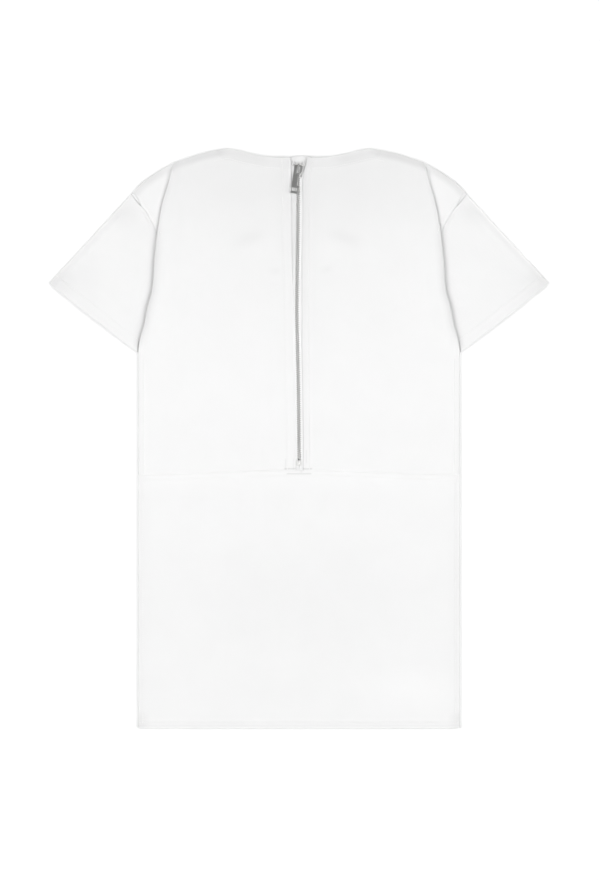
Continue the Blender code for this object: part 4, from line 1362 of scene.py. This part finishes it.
def denim(name, grain=0.0):
    """White cotton twill: diagonal ribs over fine yarns, slubs along the grain, soft mottling."""
    nodes = Nodes(name)
    ribs = nodes.waves(TWILL_ANGLE - grain, bands(TWILL_PITCH), 0.5, Detail=1.0, Detail_Scale=1.6)
    yarns = nodes.waves(-grain, bands(YARN_PITCH), 0.35, "Y", Detail=1.0)
    slubs = nodes.noise(nodes.place((1.6, 0.05, 1.0), -grain), 1.0)
    mottle = nodes.noise(nodes.place(turn=-grain), 0.02)
    weave = nodes.total((ribs, 0.75), (yarns, 0.3), (slubs, 0.35))
    tone = nodes.total((weave, 0.5), (mottle, 0.45))
    colour = nodes.colour(nodes.ramp(tone, 0.3, 1.1, 0.0, 1.0), grey(0.815), grey(0.86))
    return nodes.finish(Base_Color=nodes.with_painted_shading(colour),
                        Roughness=nodes.ramp(weave, 0.2, 1.2, 0.93, 0.82),
                        Normal=nodes.bump(weave, 0.09, 0.8), Specular_IOR_Level=0.25,
                        Sheen_Weight=0.06, Sheen_Roughness=0.5)


def thread(name):
    """Thick cotton sewing thread, with the twist of its plies."""
    nodes = Nodes(name)
    twist = nodes.waves(THREAD_ANGLE, 0.4, 0.4)
    fuzz = nodes.noise(nodes.place(), 1.8)
    colour = nodes.colour(nodes.total((twist, 0.5), (fuzz, 0.5)), grey(0.80), grey(0.88))
    return nodes.finish(Base_Color=colour, Roughness=0.7, Specular_IOR_Level=0.35,
                        Normal=nodes.bump(twist, 0.06, 0.6), Sheen_Weight=0.1)


def tape_weave(name):
    """Fine herringbone of the zip's cotton tape."""
    nodes = Nodes(name)
    weave = nodes.total((nodes.waves(45.0, 0.32, 0.2), 0.5), (nodes.waves(0.0, 0.18, 0.1), 0.5))
    colour = nodes.with_painted_shading(nodes.colour(weave, grey(0.74), grey(0.79)))
    return nodes.finish(Base_Color=colour, Roughness=0.82, Specular_IOR_Level=0.25,
                        Normal=nodes.bump(weave, 0.08, 0.7), Sheen_Weight=0.05)


def nickel(name, tone, roughness, metallic=1.0):
    """Plated zip metal: tumbled, slightly uneven, with fine scratches."""
    nodes = Nodes(name)
    scratches = nodes.noise(nodes.place((3.0, 0.25, 1.0), SCRATCH_ANGLE), 1.0, 3.0, 0.6)
    wear = nodes.noise(nodes.place(), 0.45, 3.0, 0.6)
    colour = nodes.with_painted_shading(nodes.colour(wear, tuple(value * 0.86 for value in tone), tone))
    rough = nodes.ramp(scratches, 0.3, 0.7, roughness * 0.75, roughness * 1.35)
    return nodes.finish(Base_Color=colour, Metallic=metallic, Roughness=rough,
                        Normal=nodes.bump(scratches, 0.012, 0.5))


# ---------------------------------------------------------------- painted light and shade on the pieces


SEAM_SHADE_Y = -45.7                   # painted shade line along the waist seam across the zip's end, and one below the seam
LOW_SEAM_SHADE_Y = -53.2
SEAM_GAP_SHADE = (2.3, -48.3)             # painted shade in the gap at the end of the fold over the waist seam


def shade(thing, tone=None):
    """Stores painted light and shade on a piece, as a factor on its colour at each point."""
    mesh = thing.data
    points = np.empty(len(mesh.vertices) * 3)
    mesh.vertices.foreach_get("co", points)
    across, up, _ = points.reshape(-1, 3).T / MM
    values = np.ones(len(across)) if tone is None else tone(across, up)
    layer_of = mesh.attributes.new("tone", "FLOAT", "POINT")
    layer_of.data.foreach_set("value", values.astype(np.float32))
    return thing


def within(distance, width, fade):
    """1 within a distance, falling softly to 0 beyond it."""
    return 1 - ease((distance - width) / fade)


def patch(across, up, centre, reach):
    """A soft round share around a place: 1 in its middle and 0 beyond its reach."""
    return 1 - ease(np.hypot((across - centre[0]) / reach[0], (up - centre[1]) / reach[1]))


def bar(distance, half=0.3):
    """A thin line, soft at its sides."""
    return within(abs(distance), half, 1.2)


def seam_gap_shade(across, up):
    """Painted shade: the short dark gap at the end of the fold over the waist seam, below the zip.
    """
    return 0.14 * bar(across - SEAM_GAP_SHADE[0], 0.5) * within(abs(up - SEAM_GAP_SHADE[1]), 3.2, 0.6)


def bodice_painted_shading(across, up):
    """Painted shade: the upper back, its faced neck, its shoulders and the zip's placket are
    painted a little darker.
    """
    out = abs(across)
    left = read(OPENING, up, "left") - across
    right = across - read(OPENING, up, "right")
    on_left, on_right = across < 0, across > 0
    neck, crease = beside(out, up, NECKLINE), beside_crease(out, up)
    # Painted shade over the whole half: darker upwards and beside the zip, and a little darker
    # near the waist
    tone = 1 - ease((up + 10) / 430) * (0.012 + 0.022 * within(out, 60, 190)
                                        + 0.02 * within(out, 8, 42))
    tone -= 0.01 * ease((60 - up) / 60) + 0.035 * (within(up - waist(out), 0.6, 2)
                                                   * within(abs(across + 50), 26, 24))
    tone += creases(BODICE_PAINTED_SHADES, across, up)
    # Painted shade on the neck band, a painted highlight on its edge, painted shade on the
    # shoulder, a painted highlight on the armhole seam
    tone -= mix(0.01, 0.032, ease((out - 45) / 20)) * within(neck, NECK_BAND - 1, 3)
    tone += 0.045 * within(neck, 0.4, 1.6)
    tone -= 0.09 * within(beside(out, up, SHOULDER), 5, 9) * ease((out - 100) / 28)
    tone += 0.05 * within(beside(out, up, ARMHOLE), 0.5, 1.5) * ease((out - 205) / 12)
    # Painted shade in the crease over the sleeve, and along the side seam below it
    tone -= 0.038 * ease((up - 270) / 125) * within(out - read(SIDE, up, "across"), -3, 8)
    tone -= 0.10 * crease_at(up) * within(crease, 0, 7)
    tone -= 0.06 * within(crease, 4, 10) * within(abs(up - 228), 56, 45)
    tone -= 0.05 * within(HALF_WIDTH - out, 1.5, 4) * ease((140 - up) / 20)
    # Folded edges beside the zip: painted highlights on the left fold and beside the pull, painted
    # shade along the right fold
    tone += 0.045 * within(left, 0.6, 2.2) * on_left * ease((up - 60) / 90)
    tone += 0.13 * within(left, 1.5, 3) * on_left * ease((up - 364) / 8) * ease((408 - up) / 8)
    tone -= mix(0.03, 0.05, ease((up - 40) / 250)) * within(right, 0.5, 9) * on_right
    tone -= mix(0.17, 0.03, ease((up - 90) / 60)) * within(right, 0.5, 1) * on_right
    # Painted shade along the waist seam across the zip's end, and painted dark lines at the ends
    # of the seams above it
    tone -= 0.16 * bar(up - SEAM_SHADE_Y) * within(abs(across + 1.5), 20.5, 1.2)
    tone -= 0.08 * (bar(across + 20.2) + 0.8 * bar(across + 8.2)) * within(abs(up + 39), 7, 2)
    return tone - 0.06 * bar(across - 11.2) * within(abs(up + 28.5), 9.5, 1.5)


def guard_painted_shade(across, up):
    """Painted shade: the underlap is painted darker down behind the slider."""
    return 0.94 - 0.13 * ease((416.8 - up) / 4.2)


def sleeve_painted_shading(across, up):
    """Painted shade beside the crease and near the cuff's tip, painted highlights on the armhole
    seam and upper edge.
    """
    out = abs(across)
    crease = beside_crease(out, up)
    tone = 0.98 - 0.16 * crease_at(up) * within(crease, 0.5, 13) ** 1.6
    tone += 0.05 * within(beside(out, up, ARMHOLE), 0.5, 1.5) * (crease > 12)
    upper = nearest(plan(out, up), np.array([SHOULDER_TIP, SLEEVE_TIP]))
    tone += 0.07 * within(upper, 1.4, 1.8) * (across > 0) * ease((352 - out) / 20)
    for strength, centre, reach in ((0.04, SLEEVE_TIP, (112, 90)), (0.05, SLEEVE_TIP, (54, 42)),
                                    (0.04, (262, 340), (30, 34))):
        tone -= strength * patch(out, up, centre, reach)
    return tone


def skirt_painted_shading(across, up):
    """Painted shade down the middle, at the side seams, waist seam and towards the hem; painted
    light low right and at the hem's edge.
    """
    out, above_hem = abs(across), up - HEM_Y
    from_side = HALF_WIDTH - out
    tone = 1 - 0.018 * ease((-55 - up) / 40) - 0.012 * ease((-120 - up) / 130)
    tone -= 0.012 * within(out, 60, 130) * ease((-120 - up) / 80) * ease((up + 330) / 60)
    tone += 0.035 * patch(across, up, (165, -378), (115, 52))
    tone -= 0.16 * bar(up - LOW_SEAM_SHADE_Y) * within(out, 18.5, 1.5) + seam_gap_shade(across, up)
    tone -= 0.03 * within(from_side, 1.5, 3)
    tone -= 0.06 * within(from_side, 2, 9) * within(above_hem, 14, 14)
    tone -= 0.02 * bar(above_hem - HEM_STITCH, 0.8) + 0.04 * bar(above_hem - 3.8, 0.9)
    return tone + 0.05 * within(above_hem, 1.2, 1.2)


def tape_painted_light(across, up):
    """Painted light on the tapes beside the slider and along the right-hand fold, painted shade at
    the waist seam.
    """
    left = mix(0.96, 1.12, ease((290 - up) / 120))
    left = mix(left, 1.26, ease((up - 363) / 6))
    right = across > zip_line(up)
    tone = mix(np.where(right, 1.12, left), np.where(right, 1.14, 1.02), ease((-38 - up) / 5))
    tone -= 0.12 * bar(up - SEAM_SHADE_Y) + seam_gap_shade(across, up)
    return mix(tone, 0.93, ease((up - 410) / 2))


def teeth_painted_light(across, up):
    """Painted light: the teeth are painted brighter where the pull lies over them and shades them.
    """
    return 1 + 0.3 * ease((up - 368) / 5)


def slider_painted_light(across, up):
    """Painted light: the slider's crown is painted brighter under the pull, within reach of its
    bridge.
    """
    return 1 + 0.1 * within(np.hypot(across - SLIDER_MID[0], up - SLIDER_MID[1]), 6, 2)


# ---------------------------------------------------------------- floor, light and camera


FLOOR_SIZE = 6.0
FLOOR_Z = -0.0004
VIEW_HEIGHT = 1.320             # what the camera's frame covers
VIEW_PLANE = 0.004              # at the height of the cloth
VIEW_MIDDLE = (0.0015, -0.0026)
LENS = 85.0
SENSOR = 36.0
SKY = 0.11
# Soft lights: where they stand, how large and how strong they are
SOFTBOXES = (
    ("left", (-2.2, 0.0, 2.0), (2.6, 2.0), 62),
    ("right", (2.2, 0.0, 2.0), (2.6, 2.0), 62),
    ("hem", (0.0, -2.4, 2.0), (2.0, 2.6), 25),
    ("neck", (0.0, 2.4, 2.2), (2.0, 2.6), 19),
)


def stage_floor():
    """Plain pale floor just under the cloth."""
    half = FLOOR_SIZE / 2
    mesh = bpy.data.meshes.new("floor")
    corners = ((-half, -half), (half, -half), (half, half), (-half, half))
    mesh.from_pydata([(x, y, FLOOR_Z) for x, y in corners], [], [(0, 1, 2, 3)])
    nodes = Nodes("floor")
    colour = nodes.colour(nodes.noise(nodes.place(), 0.01), grey(0.93), grey(0.95))
    mesh.materials.append(nodes.finish(Base_Color=colour, Roughness=0.9, Specular_IOR_Level=0.1))
    link("floor", mesh)


def light_and_camera():
    """Soft lights that point at the middle of the garment, and a camera straight above it."""
    scene = bpy.context.scene
    for name, place, size, watts in SOFTBOXES:
        light = bpy.data.lights.new(name, "AREA")
        light.shape = "RECTANGLE"
        light.size, light.size_y = size
        light.energy = watts
        box = link(name, light)
        box.location = place
        box.rotation_euler = (-Vector(place)).to_track_quat("-Z", "Y").to_euler()
    scene.world = bpy.data.worlds.new("studio")
    scene.world.use_nodes = True
    background = scene.world.node_tree.nodes["Background"].inputs
    background["Color"].default_value = (1.0, 1.0, 1.0, 1.0)
    background["Strength"].default_value = SKY
    camera = bpy.data.cameras.new("camera")
    camera.lens, camera.sensor_width, camera.sensor_fit = LENS, SENSOR, "AUTO"
    scene.camera = link("camera", camera)
    scene.camera.location = (*VIEW_MIDDLE, VIEW_HEIGHT * LENS / SENSOR + VIEW_PLANE)
    scene.view_settings.view_transform = "Standard"


# ---------------------------------------------------------------- the garment


# Turn of the grain on the sleeves, in degrees
SLEEVE_GRAIN = 49.0


def stand_for(piece, nodes, body="root"):
    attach(piece, body)
    if nodes:
        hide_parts(*nodes)


def lay(piece, node, sewn=()):
    """Hands a piece of cloth over in place of its part, with the stitches on it."""
    stand_for(piece, [node])
    for row in sewn:
        stand_for(row, [])


def main():
    cloth = denim("white_denim")
    sleeve_cloth = {side: denim(f"sleeve_denim_{name}", -side * SLEEVE_GRAIN)
                    for side, name in SIDES.items()}
    sewing = thread("sewing_thread")
    tape = tape_weave("tape_weave")
    # Painted light and shade: lit and shaded copies of one nickel plating, darkest for the pull
    # and the bridge, lightest for the slider and the stops
    dark = nickel("pull_nickel_painted_dark", (0.47, 0.47, 0.465), 0.36)
    painted_light_nickel = nickel("slider_nickel_painted_light", (0.88, 0.88, 0.87), 0.5, 0.5)
    bright = nickel("tooth_nickel", (0.76, 0.76, 0.75), 0.42)

    front, front_skirt = shade(front_bodice(cloth)), shade(skirt_front(cloth))
    lay(front, "front_bodice",
        [stitch_rows("stitches_front_bodice", front, front_lines(), sewing, below=True)])
    lay(front_skirt, "skirt_front",
        [stitch_rows("stitches_skirt_front", front_skirt, skirt_lines(), sewing, below=True)])
    skirt = shade(skirt_back(cloth), skirt_painted_shading)
    lay(skirt, "skirt_back", [stitch_rows("stitches_skirt_back", skirt, skirt_lines(), sewing)])
    lay(shade(zip_guard(cloth), guard_painted_shade), "zip_guard")
    for side, name in SIDES.items():
        back = shade(back_bodice(side, cloth), bodice_painted_shading)
        lay(back, f"back_bodice_{name}", [back_stitches(side, back, sewing)])
        arm = shade(sleeve(side, sleeve_cloth[side]), sleeve_painted_shading)
        lay(arm, f"sleeve_{name}", [sleeve_stitches(side, arm, sewing)])
        lay(shade(zip_tape(side, tape), tape_painted_light), f"zip_tape_{name}")
    stand_for(shade(zip_teeth(bright), teeth_painted_light), ["zip_chain"])
    stand_for(shade(zip_slider(painted_light_nickel, dark), slider_painted_light), ["zip_slider"])
    stand_for(shade(box_stop(painted_light_nickel, bright)), ["zip_bottom_stop"])
    stand_for(shade(top_stops(painted_light_nickel)), ["zip_top_stop_left", "zip_top_stop_right"])
    axis = next(joint for joint in FRAME["joints"] if joint["name"] == "pull_hinge")["pos_m"]
    stand_for(shade(zip_pull(Vector(axis), dark)), ["zip_pull"], body="pull")


main()
stage_floor()
light_and_camera()
bpy.context.view_layer.update()
